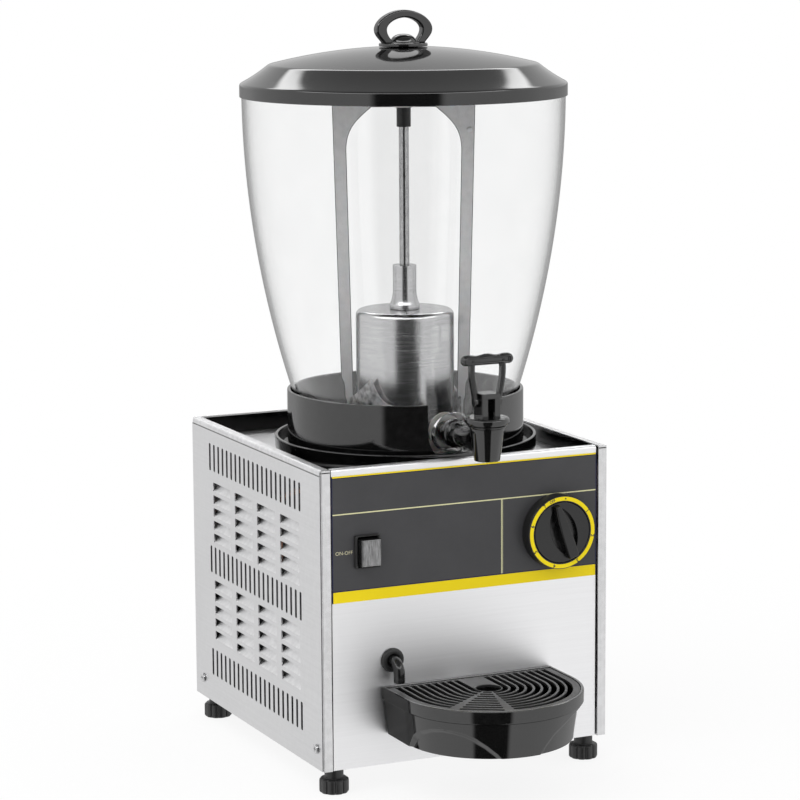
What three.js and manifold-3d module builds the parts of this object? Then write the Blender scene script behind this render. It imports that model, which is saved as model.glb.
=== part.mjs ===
import * as THREE from 'three';
import { mergeVertices } from 'three/addons/utils/BufferGeometryUtils.js';
import Module from 'manifold-3d';

// Countertop ayran dispenser: a steel cooler cabinet, a clear bowl over a cold cylinder,
// an agitator frame on a drive shaft, a lever tap, a drip tray and four screw feet.
// Millimetres, +Z up, the front faces -Y. Inside the main group y = 0 is the front face of
// the corner posts, x = 0 the middle of the cabinet and z = 0 the table.

const wasm = await Module();
wasm.setup();

// General
const clearance = 0.3; // between pieces that touch
const overrun = 4; // how far a cutter runs past the face that it cuts
const sheet = 1.2; // cabinet sheet metal

// Cabinet
const cabinetWidth = 300;
const cabinetDepth = 329;
const cabinetHeight = 287;
const footHeight = 24; // table to the underside of the cabinet
const postWidth = 9.1;
const postInset = 0.6; // post edge to the side of the cabinet
const postThickness = 1.5;
const postReturn = 11; // leg of the post along the side panel
const sideSetback = 2.8; // front edge of a side panel behind the post face
const panelSetback = 2; // front panel behind the post face
const panelGap = 1.5; // shadow line between post and front panel
const topFlange = 9; // folded edge along the top of the sides
const frontFold = 6.5; // folded edge along the top of the front
const deckDrop = 17.4; // top edge to the recessed deck
const linerWall = 4;
const linerBackWall = 8;
const panFlange = 26;

// Side panel pattern, from the back edge forwards and from the table upwards
const slotCount = 21;
const slotWidth = 4.4;
const slotHeightShare = 0.0958; // of the cabinet's height
const slotInset = 48; // middle of the rearmost slot to the back edge
const lastSlotY = 51; // middle of the foremost slot
const slotRowShares = [0.1477, 0.5192, 0.885]; // each row's middle over the cabinet's underside
const louvreGap = 12; // between two columns
const louvreBridge = 4; // sheet between two rows
const louvrePitchShare = 0.04547; // of the cabinet's height
const louvreColumns = 4;
const louvreRowCount = 5;
const louvreDepth = 5.4; // how far a flap leans inwards at its top edge
const louvreInset = 79; // middle of the rearmost column to the back edge
const lastLouvreY = 76; // middle of the foremost column
const louvreBlockShares = [0.2342, 0.5845]; // lowest row's bottom edge over the underside
const sideScrewZ = 43.4;
const sideScrewFrontY = 15.8;
const sideScrewInset = 21; // rear screw to the back edge
const sideScrewRadius = 4.6;
const sideScrewHead = 2;
const sideScrewShank = 2;
const sideScrewLength = 8;

// Back panel
const ventCount = 9;
const ventWidth = 5;
const ventHeight = 90;
const ventPitch = 12;
const ventMiddleX = 70;
const ventMiddleZ = 100;
const glandX = -95;
const glandZ = 62;
const glandRadius = 11;
const glandNeck = 7.5;
const glandBore = 4.5;
const glandLength = 10;
const glandInside = 8;

// Control label, switch and thermostat
const labelThickness = 0.5;
const labelDrop = 6.8; // label's top edge under the cabinet's
const labelHeight = 119.9;
const switchX = -103.8;
const switchDrop = 79.4; // switch's middle under the cabinet's top
const bezelWidth = 25.7;
const bezelHeight = 31.3;
const bezelDepth = 4.2;
const housingWidth = 22.6;
const housingHeight = 29.8;
const housingDepth = 24;
const rockerWidth = 20;
const rockerHeight = 25.6;
const rockerProud = 7.6; // rocker face in front of its bezel
const rockerBack = 8; // rocker behind its pivot
const rockerPivotIn = 1; // pivot behind the bezel face
const rockerRoom = 1.5; // room above and below the rocker
const dialX = 94.5;
const dialDrop = 78.1; // dial's middle under the cabinet's top
const dialRadius = 35.8;
const dialDepth = 14;
const dialBase = 4;
const knobRadius = 29.3;
const knobDepth = 9.4;
const gripHeight = 12.6;
const gripLength = 27;
const gripBackWidth = 13;
const gripTipWidth = 7;
const offAngle = 19; // the grip's tip points this far left of straight up, in degrees
const spindleRadius = 3;
const thermostatWidth = 36;
const thermostatHeight = 30;
const thermostatDepth = 34;
const collarNutRadius = 7.5;

// Bowl seat and evaporator
const bowlAxisY = 137;
const dishRadius = 127.8;
const dishHeight = 20.3;
const dishWall = 3;
const dishFoot = 7; // how far the underside is smaller than the rim
const dishHole = 52;
const collarRadius = 115.4;
const collarHeight = 62;
const collarWall = 3.4;
const collarFloor = 3;
const collarHole = 58;
const notchHalfWidth = 28.2;
const evaporatorRadius = 47.8;
const evaporatorRise = 143; // top over the deck
const evaporatorWall = 1.2;
const evaporatorShoulder = 6;
const evaporatorFlange = 49.2;
const coilTube = 4;
const coilTurns = 5;
const coilPitch = 22;
const coilRise = 14.4; // lowest turn over the deck
const coneBaseRadius = 14.8;
const coneNeckRadius = 11.4;
const coneHeight = 42.7;
const coneFlare = 14;
const coneSpigotRadius = 10;
const coneSpigotLength = 12;
const shaftRadius = 4.8;
const shaftProud = 5.5; // shaft's end over the bowl's rim

// Mixer motor under the deck
const motorBracketDrop = 20;
const motorBracketWidth = 138;
const motorBracketDepth = 58;
const motorBracketSheet = 2;
const gearboxWidth = 66;
const gearboxDepth = 58;
const gearboxHeight = 38;
const motorRadius = 27;
const motorLength = 62;
const shaftSocket = 22; // how deep the shaft stands in the gearbox

// Cooling unit on the base pan
const compressorX = -72;
const compressorInset = 84; // its axis to the back edge
const compressorRadius = 56;
const compressorHeight = 146;
const compressorDome = 30;
const compressorShoulderShare = 0.62; // of the radius
const compressorBaseLength = 128;
const compressorBaseWidth = 80;
const compressorBaseSheet = 3;
const compressorPad = 5;
const compressorPadRadius = 9;
const condenserX = 62;
const condenserInset = 29; // its middle to the back edge
const condenserWidth = 122;
const condenserDepth = 30;
const condenserHeightShare = 0.4878; // of the cabinet's height
const condenserCore = 12;
const finCount = 10;
const finThickness = 2;
const shroudDepth = 14;
const shroudSheet = 3;
const fanHoleRadius = 52;
const fanRadius = 48;
const fanHubRadius = 13;
const fanDepth = 11;
const fanBladeCount = 5;
const fanBladeThickness = 2;
const fanPitch = 60; // degrees that a blade is turned out of the shaft's direction
const fanMotorRadius = 22;
const fanMotorLength = 34;
const fanMotorLegWidth = 20;
const fanMotorGap = 4; // fan to motor
const fanSpindle = 3;
const pipeRadius = 3.2;
const drierRadius = 9;
const drierLength = 60;
const drierStub = 4;

// Drain
const drainX = -78;
const drainShare = 0.2894; // drain's height between the tray's rim and the label
const drainRadius = 5.3;
const drainBore = 3.4;
const drainColumnY = 24;
const drainReach = 16; // front panel to the middle of the pipe's end
const drainBend = 11;
const drainEndRise = 6; // pipe's end over the tray's rim
const grommetRadius = 11.5;
const grommetNeck = 8;
const grommetFlange = 3.4;

// Drip tray
const trayHalfWidth = 89.4;
const trayStraight = 44.5; // back wall to the centre of the round front
const trayTopShare = 0.26481; // rim's height over the underside, of the cabinet's height
const trayHeight = 47;
const trayBand = 13.5; // height of the rim band
const trayStep = 2.2; // body behind the rim band
const trayDraft = 4; // how far the body narrows to its bottom edge
const trayWall = 3;
const trayLedge = 3.4;
const trayFloorRise = 6;
const grateThickness = 3;
const grateDrop = 0.8; // grate top under the rim
const grateHole = 12;
const slitWidth = 5;
const slitPitch = 7.6;
const fanAngle = -121; // direction of the fan of straight slits, in degrees
const fanStrip = 22; // half angle where the curved slits stop, in degrees
const fanHalf = 15; // half angle of the fan itself, in degrees
const chordWidth = 3.6;
const grateBar = 3; // bar along the back edge
const bracketArm = 88;
const bracketArmWidth = 10;
const bracketArmX = 40;
const bracketSheet = 1.5;
const bracketHeight = 17;

// Screw feet
const footKnobRadius = 14;
const footLobe = 1.1;
const footLobes = 10;
const lobeCorners = 3; // corners of the outline per lobe
const footKnobHeight = 14;
const footNeckRadius = 9;
const footStudRadius = 4;
const footStudLength = 18; // over the cabinet's underside
const footInsetX = 17;
const footInsetFront = 15;
const footInsetBack = 16;
const footTravel = 10;
const footRoom = 0.5;

// Bowl
const bowlTopRadius = 156;
const collarRoom = 0.97; // bowl's wall to the inside of the collar's rim
const bowlCorner = 6;
const bowlHeight = 349;
const bowlWall = 4;
const cornerShare = 0.3; // height of the bend in the bowl's lower corner
const bowlHubHeight = 14;
const bowlHubWall = 3.6;
const gasketHeight = 12;
const gasketWall = 3.6;

// Tap
const tapX = 0;
const tapY = -42;
const portRise = 30.5; // port over the bowl's underside
const portRingRadius = 19.5;
const portRingProud = 6; // port ring in front of the bowl's wall
const shankRadius = 10;
const shankBore = 5.5;
const shankNutRadius = 14;
const shankNutLength = 21;
const shankInside = 15; // thread inside the bowl's wall
const washerRadius = 17;
const washerThickness = 2.5;
const locknutRadius = 16;
const locknutThickness = 7;
const spoutTopRadius = 16.2;
const spoutBottomRadius = 12;
const spoutDrop = 15.3; // spout's end under the port's axis
const spoutRise = 16; // spout's top over the port's axis
const spoutBore = 9.6;
const spoutOutletBore = 8.4;
const seatRadius = 9;
const seatHeight = 11;
const stemRadius = 2.6;
const bonnetRadius = 20;
const bonnetHeight = 9.6;
const bonnetSkirt = 1.6;
const blockWidth = 18;
const blockHeight = 22.5;
const blockSlot = 7;
const blockSlotTop = 4; // web over the slot
const leverPivotDrop = 8; // pivot under the block's top
const leverPin = 2.4;
const leverHubRadius = 5;
const leverArm = 4.6; // width of an arm
const leverArmDepth = 6.6;
const leverSpread = 15.4; // middle of an arm under the bar
const leverBow = 1.8; // how far an arm bows out past its top
const leverBarLength = 53;
const leverBarRise = 79.5; // bar over the port's axis
const leverBarRadius = 5.2;
const plungerTravel = 8;

// Lid
const lidOverhang = 1.9; // lid past the bowl's rim
const lidSkirtDrop = 6.5; // skirt's lower edge under the rim
const lidSkirtHeight = 12.4;
const lidBevelRun = 27.9; // breadth of the slope inside the skirt
const lidBevelRise = 24.1; // slope's top over the rim
const lidRise = 40.5; // middle of the lid over the rim
const lidWall = 3;
const lidDomeRadius = 86; // circle that rounds the dome
const lidLipDepth = 7;
const handleBaseRadius = 23.5;
const handleBaseThickness = 3;
const handleCapRadius = 13;
const handleCapHeight = 12;
const handleWidth = 60.5;
const handleRise = 34.8; // top of the loop over the lid's middle
const loopWidestShare = 0.44; // height of the loop's widest place
const loopFlankShare = 0.6; // pull of the curve under that place
const loopNeckShare = 0.5; // pull of the curve over the base
const loopShoulderShare = 0.4; // pull of the curve over that place
const loopCrownShare = 0.55; // pull of the curve at the top
const capProfileShares = [[1, 0.2], [0.8, 0.7], [0.4, 1]]; // cap's radius and height
const handleBar = 8;
const handleDepth = 9.5;
const handleNeckHalf = 21; // half the outer width where the loop meets its base
const handleScrewRadius = 3;
const handleScrewHead = 6;
const handleScrewHeadHeight = 3;

// Agitator
const agitatorYaw = -25; // degrees about the bowl's axis, as the frame stands at rest
const agitatorRoom = 0.5; // crossbar's top under the bowl's rim
const agitatorRise = 21.5; // pegs' ends over the bowl's underside
const agitatorThickness = 3;
const legTopOuter = 69.4;
const legBottomOuter = 61.4;
const legTopWidth = 12.6;
const legBottomWidth = 11.4;
const legStepRise = 68.5; // step over the bowl's underside
const legStep = 3;
const legFootRise = 49.5;
const legFillet = 7; // height of the curves that narrow a leg to its peg
const pegWidth = 5.4;
const archDrop = 65; // a leg starts to spread inwards this far under the crossbar's top
const archInner = 41; // half width of the opening under the crossbar
const archBand = 17; // height of the crossbar
const hubRadius = 6.9;
const hubDrop = 36.5; // hub's lower end under the rim
const hubCap = 4;
const hubRingRadius = 11;
const finRadius = 52;
const finSheet = 2.6;
const finApexRise = 73.1; // heights over the bowl's underside
const finShoulderRise = 49.5;
const finBottomRise = 29.5;
const finSweep = 78; // degrees along the cold cylinder
const finRoot = 2; // degrees of the fin inside its leg
const finApexShare = 0.7;
const finSteps = 14;
const archFacets = 6;

// Facets
const largeFacets = 40;
const mediumFacets = 22;
const smallFacets = 12;
const trayFacets = 14;
const slitFacets = 3;
const pipeFacets = 6;
const hexagon = 6;
const coilSteps = 12; // per turn
const pipeSteps = 16;
const drainSteps = 22;
const bowlLevels = 6;
const loopFacets = 6;

// Levels and faces that several pieces share
const cabinetTop = footHeight + cabinetHeight;
const deckZ = cabinetTop - deckDrop;
const halfWidth = cabinetWidth / 2;
const innerHalf = halfWidth - sheet - clearance;
const innerBack = cabinetDepth - sheet - clearance;
const panelBack = panelSetback + sheet;
const labelTop = cabinetTop - labelDrop;
const labelBottom = labelTop - labelHeight;
const trayTop = footHeight + trayTopShare * cabinetHeight;
const trayBottom = trayTop - trayHeight;
const drainZ = trayTop + drainShare * (labelBottom - trayTop);
const drainEndZ = trayTop + drainEndRise;
const slotHeight = slotHeightShare * cabinetHeight;
const louvrePitchZ = louvrePitchShare * cabinetHeight;
const louvreHeight = louvrePitchZ - louvreBridge;
const condenserHeight = condenserHeightShare * cabinetHeight;
const switchZ = cabinetTop - switchDrop;
const dialZ = cabinetTop - dialDrop;
const firstSlotY = cabinetDepth - slotInset;
const slotPitch = (firstSlotY - lastSlotY) / (slotCount - 1);
const firstLouvreY = cabinetDepth - louvreInset;
const louvrePitchY = (firstLouvreY - lastLouvreY) / (louvreColumns - 1);
const louvreLength = louvrePitchY - louvreGap;
const sideScrewBackY = cabinetDepth - sideScrewInset;
const compressorY = cabinetDepth - compressorInset;
const condenserY = cabinetDepth - condenserInset;
const coilRadius = evaporatorRadius - evaporatorWall - 2 * clearance - coilTube;
const panelHalf = halfWidth - postInset - postWidth - panelGap;
const panFront = panelBack + clearance;
const panFloor = footHeight + sheet;
const labelFront = panelSetback - clearance - labelThickness;
const bracketFront = panelSetback - clearance - bracketSheet;
const trayBackY = bracketFront - clearance;
const dishBottom = deckZ + clearance;
const collarBottom = dishBottom + dishWall + clearance;
const collarTop = collarBottom + collarHeight;
const bowlBottom = collarBottom + collarFloor + clearance;
const bowlTop = bowlBottom + bowlHeight;
const bowlSeatRadius = collarRadius - collarWall - collarRoom;
const evaporatorTop = deckZ + evaporatorRise;
const coilBottom = deckZ + coilRise;
const shaftTop = bowlTop + shaftProud;
const portZ = bowlBottom + portRise;
const spoutBottom = portZ - spoutDrop;
const spoutTop = portZ + spoutRise;
const leverBarZ = portZ + leverBarRise;
const lidRadius = bowlTopRadius + lidOverhang;
const lidSkirtBottom = bowlTop - lidSkirtDrop;
const lidBevelRadius = lidRadius - lidBevelRun;
const lidBevelTop = bowlTop + lidBevelRise;
const lidApex = bowlTop + lidRise;
const handleTop = lidApex + handleRise;
const agitatorTop = bowlTop - agitatorRoom;
const agitatorBottom = bowlBottom + agitatorRise;
const legStepZ = bowlBottom + legStepRise;
const legFootZ = bowlBottom + legFootRise;
const archFoot = agitatorTop - archDrop;
const archTop = agitatorTop - archBand;
const hubBottom = bowlTop - hubDrop;
const finApexZ = bowlBottom + finApexRise;
const finShoulderZ = bowlBottom + finShoulderRise;
const finBottomZ = bowlBottom + finBottomRise;
const bracketPlateTop = deckZ - sheet - motorBracketDrop;
const gearboxTop = bracketPlateTop - motorBracketSheet - clearance;
const condenserFront = condenserY - condenserDepth / 2;
const condenserBottom = panFloor + clearance;
const condenserTop = condenserBottom + condenserHeight;
const shroudFront = condenserFront - clearance - shroudDepth;
const fanBack = condenserFront - clearance - shroudSheet;
const fanFront = fanBack - fanDepth;
const fanZ = condenserBottom + condenserHeight / 2;
const portRingFace = bowlAxisY - bowlRadiusAt(portZ) - portRingProud;

const degrees = Math.PI / 180;

// The bowl's outer radius grows as a parabola, through the collar's rim, to its widest at the top.
function bowlRadiusAt(z) {
  const down = (bowlTop - z) / (bowlTop - collarTop);
  return bowlTopRadius - (bowlTopRadius - bowlSeatRadius) * down * down;
}

// A closed geometry as a solid: shared corners merged, flat slivers dropped, faces outwards.
function solid(geometry) {
  const bare = geometry.clone();
  bare.deleteAttribute('normal');
  bare.deleteAttribute('uv');
  const merged = mergeVertices(bare);
  const points = merged.attributes.position;
  const index = merged.index.array;
  const a = new THREE.Vector3();
  const b = new THREE.Vector3();
  const c = new THREE.Vector3();
  const triangles = [];
  let volume = 0;
  for (let i = 0; i < index.length; i += 3) {
    const [p, q, r] = [index[i], index[i + 1], index[i + 2]];
    if (p === q || q === r || r === p) continue;
    a.fromBufferAttribute(points, p);
    b.fromBufferAttribute(points, q);
    c.fromBufferAttribute(points, r);
    volume += a.dot(b.cross(c));
    triangles.push(p, q, r);
  }
  if (volume < 0) {
    for (let i = 0; i < triangles.length; i += 3) {
      [triangles[i + 1], triangles[i + 2]] = [triangles[i + 2], triangles[i + 1]];
    }
  }
  const mesh = new wasm.Mesh({
    numProp: 3,
    vertProperties: new Float32Array(points.array),
    triVerts: new Uint32Array(triangles),
  });
  return new wasm.Manifold(mesh);
}

// A solid back as a geometry with flat faces.
function geometryOf(body) {
  const { vertProperties, triVerts, numProp } = body.getMesh();
  const geometry = new THREE.BufferGeometry();
  const places = new Float32Array((vertProperties.length / numProp) * 3);
  for (let i = 0; i < places.length / 3; i += 1) {
    for (let k = 0; k < 3; k += 1) places[3 * i + k] = vertProperties[numProp * i + k];
  }
  geometry.setAttribute('position', new THREE.BufferAttribute(places, 3));
  geometry.setIndex(new THREE.BufferAttribute(new Uint32Array(triVerts), 1));
  geometry.computeVertexNormals();
  return geometry;
}

// The first body with the others joined to it.
function join(first, ...others) {
  return others.reduce((body, other) => body.add(other), first);
}

// The first body with the others cut out of it.
function cut(first, ...others) {
  return others.reduce((body, other) => body.subtract(other), first);
}

function box(x0, x1, y0, y1, z0, z1) {
  const geometry = new THREE.BoxGeometry(x1 - x0, y1 - y0, z1 - z0);
  return solid(geometry.translate((x0 + x1) / 2, (y0 + y1) / 2, (z0 + z1) / 2));
}

// A body turned about the Z axis from [radius, height] points, closed on itself or on the axis.
function turned(points, facets) {
  const outline = points.map(([r, z]) => new THREE.Vector2(r, z));
  return solid(new THREE.LatheGeometry(outline, facets).rotateX(Math.PI / 2));
}

// A ring of rectangular section about the Z axis.
function ring(inner, outer, z0, z1, facets) {
  return turned([[inner, z0], [outer, z0], [outer, z1], [inner, z1], [inner, z0]], facets);
}

// A round bar about the Z axis, or a cone when its two radii differ.
function bar(radius0, z0, radius1, z1, facets) {
  return turned([[0, z0], [radius0, z0], [radius1, z1], [0, z1]], facets);
}

// A body made about the Z axis, laid along Y: its z turns to -y, so it grows towards the front.
function forwards(body, x, y, z) {
  return body.rotate([90, 0, 0]).translate([x, y, z]);
}

// A flat outline in X and Y raised from z0 to z1.
function raised(shape, z0, z1, facets) {
  const options = { depth: z1 - z0, bevelEnabled: false, curveSegments: facets };
  return solid(new THREE.ExtrudeGeometry(shape, options).translate(0, 0, z0));
}

// A flat outline in X and Z carried along Y from y0 to y1.
function carried(shape, y0, y1, facets) {
  const options = { depth: y1 - y0, bevelEnabled: false, curveSegments: facets };
  const geometry = new THREE.ExtrudeGeometry(shape, options).rotateX(Math.PI / 2);
  return solid(geometry.translate(0, y1, 0));
}

function outlineOf(points) {
  return new THREE.Shape(points.map(([u, v]) => new THREE.Vector2(u, v)));
}

// A round section carried along a path, hollow where it has a bore.
function tubeAlong(path, radius, bore, steps) {
  const circle = (size) => Array.from({ length: pipeFacets }, (_, i) => {
    const angle = (i / pipeFacets) * 2 * Math.PI;
    return new THREE.Vector2(size * Math.cos(angle), size * Math.sin(angle));
  });
  const section = new THREE.Shape(circle(radius));
  if (bore > 0) section.holes.push(new THREE.Path(circle(bore)));
  const options = { steps, bevelEnabled: false, extrudePath: path };
  return solid(new THREE.ExtrudeGeometry(section, options));
}

const steel = { color: 0xd4d6d8, roughness: 0.32, metalness: 1 };
const darkSteel = { color: 0x8d9094, roughness: 0.4, metalness: 1 };
const coldSteel = { color: 0xb3b5b8, roughness: 0.28, metalness: 1 };
const galvanised = { color: 0xa9adb0, roughness: 0.5, metalness: 0.9 };
const glossBlack = { color: 0x151516, roughness: 0.18, metalness: 0 };
const mattBlack = { color: 0x1c1c1e, roughness: 0.55, metalness: 0 };
const enamelBlack = { color: 0x202124, roughness: 0.4, metalness: 0.3 };
const clearPlastic = { color: 0xf2f5f6, roughness: 0.06, metalness: 0, transparent: true, opacity: 0.28 };
const frosted = { color: 0xc6c9ca, roughness: 0.35, metalness: 0 };
const labelGrey = { color: 0x46474a, roughness: 0.45, metalness: 0 };
const smoked = { color: 0x77797c, roughness: 0.2, metalness: 0 };
const copper = { color: 0xb97850, roughness: 0.4, metalness: 1 };
const rubber = { color: 0x232325, roughness: 0.8, metalness: 0 };
const silicone = { color: 0xe8e6e0, roughness: 0.6, metalness: 0 };

const dispenser = new THREE.Group();
const cabinet = new THREE.Group();
const bowlGroup = new THREE.Group();
const agitator = new THREE.Group();
const tap = new THREE.Group();
dispenser.add(cabinet);
cabinet.add(bowlGroup);
cabinet.add(tap);
bowlGroup.add(agitator);
bowlGroup.position.set(0, bowlAxisY, 0);
tap.position.set(tapX, tapY, 0);
agitator.rotation.z = agitatorYaw * degrees;

function place(parent, name, body, finish, x = 0, y = 0, z = 0) {
  const mesh = new THREE.Mesh(geometryOf(body), new THREE.MeshStandardMaterial(finish));
  mesh.name = name;
  mesh.position.set(x, y, z);
  parent.add(mesh);
  return mesh;
}

// Both front corners, left clear for the posts' returns
function cornerCuts(z0, z1) {
  const y1 = postThickness + postReturn + clearance;
  const x0 = halfWidth - sheet - clearance - postThickness - clearance;
  return [-1, 1].map((side) => {
    const edges = [side * x0, side * (halfWidth + overrun)].sort((a, b) => a - b);
    return box(edges[0], edges[1], -overrun, y1, z0 - overrun, z1 + overrun);
  });
}

function footPlaces() {
  const x = halfWidth - footInsetX;
  return {
    front_left: [-x, footInsetFront],
    front_right: [x, footInsetFront],
    rear_left: [-x, cabinetDepth - footInsetBack],
    rear_right: [x, cabinetDepth - footInsetBack],
  };
}

function basePan() {
  const top = footHeight + panFlange;
  const outer = box(-innerHalf, innerHalf, panFront, innerBack, footHeight, top);
  const inner = box(-innerHalf + sheet, innerHalf - sheet, panFront + sheet, innerBack - sheet,
    panFloor, top + overrun);
  const holes = Object.values(footPlaces()).map(([x, y]) => (
    bar(footStudRadius + footRoom, footHeight - overrun, footStudRadius + footRoom,
      panFloor + overrun, smallFacets).translate([x, y, 0])));
  const screws = sideScrewPlaces().map(([side, y]) => screwShankCut(side, y));
  return cut(outer, inner, ...holes, ...screws, ...cornerCuts(footHeight, top));
}

function sideScrewPlaces() {
  return [[-1, sideScrewFrontY], [-1, sideScrewBackY], [1, sideScrewFrontY], [1, sideScrewBackY]];
}

function screwShankCut(side, y) {
  const hole = bar(sideScrewShank + clearance, 0, sideScrewShank + clearance,
    sideScrewLength + overrun, smallFacets).translate([0, 0, -overrun]);
  return hole.rotate([0, -90 * side, 0]).translate([side * halfWidth, y, sideScrewZ]);
}

// One side panel, drawn for the left side: folded top edge, slots and inward-leaning louvres.
function sidePanel() {
  const outer = -halfWidth;
  const inner = outer + sheet;
  const plate = box(outer, inner, sideSetback, cabinetDepth, footHeight, cabinetTop);
  const flange = box(outer, outer + topFlange, sideSetback, innerBack, cabinetTop - sheet, cabinetTop);
  const windows = [];
  const flaps = [];
  for (const rowShare of slotRowShares) {
    const rowZ = footHeight + rowShare * cabinetHeight;
    for (let i = 0; i < slotCount; i += 1) {
      const y = firstSlotY - i * slotPitch;
      windows.push(box(outer - overrun, inner + overrun, y - slotWidth / 2, y + slotWidth / 2,
        rowZ - slotHeight / 2, rowZ + slotHeight / 2));
    }
  }
  const tip = louvreHeight - clearance;
  const flap = outlineOf([[outer, -clearance], [inner, -clearance], [inner, 0],
    [inner + louvreDepth, tip], [outer + louvreDepth, tip], [outer, 0]]);
  for (const blockShare of louvreBlockShares) {
    const blockZ = footHeight + blockShare * cabinetHeight;
    for (let row = 0; row < louvreRowCount; row += 1) {
      for (let column = 0; column < louvreColumns; column += 1) {
        const y = firstLouvreY - column * louvrePitchY;
        const z = blockZ + row * louvrePitchZ;
        const [y0, y1] = [y - louvreLength / 2, y + louvreLength / 2];
        windows.push(box(outer - overrun, inner + overrun, y0, y1, z, z + louvreHeight));
        flaps.push(carried(flap, y0 + clearance, y1 - clearance, 1).translate([0, 0, z]));
      }
    }
  }
  const screws = sideScrewPlaces().filter(([side]) => side < 0).map(([side, y]) => screwShankCut(side, y));
  return join(cut(join(plate, flange), ...windows, ...screws), ...flaps);
}

function cornerPost() {
  const outer = -halfWidth + postInset;
  const legOuter = -halfWidth + sheet + clearance;
  const face = box(outer, outer + postWidth, 0, postThickness, footHeight, cabinetTop);
  const leg = box(legOuter, legOuter + postThickness, 0, postThickness + postReturn, footHeight,
    cabinetTop - sheet - clearance);
  return join(face, leg);
}

function frontPanel() {
  const plate = box(-panelHalf, panelHalf, panelSetback, panelBack, footHeight, cabinetTop);
  const fold = box(-panelHalf, panelHalf, panelSetback, panelSetback + frontFold,
    cabinetTop - sheet, cabinetTop);
  return cut(join(plate, fold), ...panelHoles(panelSetback));
}

// The openings that the front panel and its label share
function panelHoles(y) {
  const back = y + overrun;
  const spindle = forwards(bar(collarNutRadius, 0, collarNutRadius, 2 * overrun, mediumFacets),
    dialX, back, dialZ);
  const drain = forwards(bar(grommetNeck + clearance, 0, grommetNeck + clearance, 2 * overrun,
    mediumFacets), drainX, back, drainZ);
  const [w, h] = [housingWidth / 2 + clearance, housingHeight / 2 + clearance];
  const window = box(switchX - w, switchX + w, y - overrun, back, switchZ - h, switchZ + h);
  return [spindle, drain, window];
}

function controlLabel() {
  const plate = box(-panelHalf, panelHalf, labelFront, labelFront + labelThickness, labelBottom, labelTop);
  return cut(plate, ...panelHoles(labelFront));
}

function backPanel() {
  const plate = box(-innerHalf, innerHalf, cabinetDepth - sheet, cabinetDepth, footHeight, cabinetTop);
  const vents = [];
  for (let i = 0; i < ventCount; i += 1) {
    const x = ventMiddleX + (i - (ventCount - 1) / 2) * ventPitch;
    vents.push(box(x - ventWidth / 2, x + ventWidth / 2, innerBack, cabinetDepth + overrun,
      ventMiddleZ - ventHeight / 2, ventMiddleZ + ventHeight / 2));
  }
  const gland = forwards(bar(glandNeck + clearance, 0, glandNeck + clearance, 2 * overrun, smallFacets),
    glandX, cabinetDepth + overrun, glandZ);
  return cut(plate, gland, ...vents);
}

function cableGland() {
  const outside = cabinetDepth + clearance;
  const y = outside + glandLength;
  const length = glandLength + clearance + sheet + glandInside;
  return forwards(turned([[glandBore, 0], [glandNeck, 0], [glandRadius, glandLength / 2],
    [glandRadius, glandLength], [glandNeck, glandLength], [glandNeck, length], [glandBore, length],
    [glandBore, 0]], smallFacets), glandX, y, glandZ);
}

function topDeck() {
  const bottom = deckZ - sheet;
  const plate = box(-innerHalf, innerHalf, panFront, innerBack, bottom, deckZ);
  const hole = bar(evaporatorRadius + clearance, bottom - overrun, evaporatorRadius + clearance,
    deckZ + overrun, largeFacets).translate([0, bowlAxisY, 0]);
  const drain = bar(drainBore, bottom - overrun, drainBore, deckZ + overrun, smallFacets)
    .translate([drainX, drainColumnY, 0]);
  return cut(plate, hole, drain, ...cornerCuts(bottom, deckZ));
}

function deckLiner() {
  const [z0, z1] = [deckZ + clearance, cabinetTop - sheet - clearance];
  const outer = box(-innerHalf, innerHalf, panFront, innerBack, z0, z1);
  const inner = box(-innerHalf + linerWall, innerHalf - linerWall, panFront + linerWall,
    innerBack - linerBackWall, z0 - overrun, z1 + overrun);
  const ridge = box(-halfWidth + topFlange + clearance, halfWidth - topFlange - clearance,
    innerBack - linerBackWall, innerBack, z0, cabinetTop);
  return join(cut(outer, inner, ...cornerCuts(z0, z1)), ridge);
}

function bowlSeatDish() {
  const top = dishBottom + dishHeight;
  const foot = dishRadius - dishFoot;
  return turned([[dishHole, dishBottom], [foot, dishBottom], [dishRadius, dishBottom + dishFoot],
    [dishRadius, top], [dishRadius - dishWall, top],
    [dishRadius - dishWall, dishBottom + dishFoot + dishWall / 2],
    [foot - dishWall / 2, dishBottom + dishWall], [dishHole, dishBottom + dishWall],
    [dishHole, dishBottom]], largeFacets).translate([0, bowlAxisY, 0]);
}

function bowlCollar() {
  const top = collarTop;
  const floor = collarBottom + collarFloor;
  const inner = collarRadius - collarWall;
  const cup = turned([[collarHole, collarBottom], [collarRadius, collarBottom], [collarRadius, top],
    [inner, top], [inner, floor], [collarHole, floor], [collarHole, collarBottom]], largeFacets);
  const notch = new THREE.Shape();
  notch.moveTo(-notchHalfWidth, top + overrun);
  notch.lineTo(-notchHalfWidth, portZ);
  notch.absarc(0, portZ, notchHalfWidth, Math.PI, 2 * Math.PI);
  notch.lineTo(notchHalfWidth, top + overrun);
  const opening = carried(notch, -collarRadius - overrun, -collarRadius / 2, smallFacets);
  return cut(cup, opening).translate([0, bowlAxisY, 0]);
}

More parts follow.
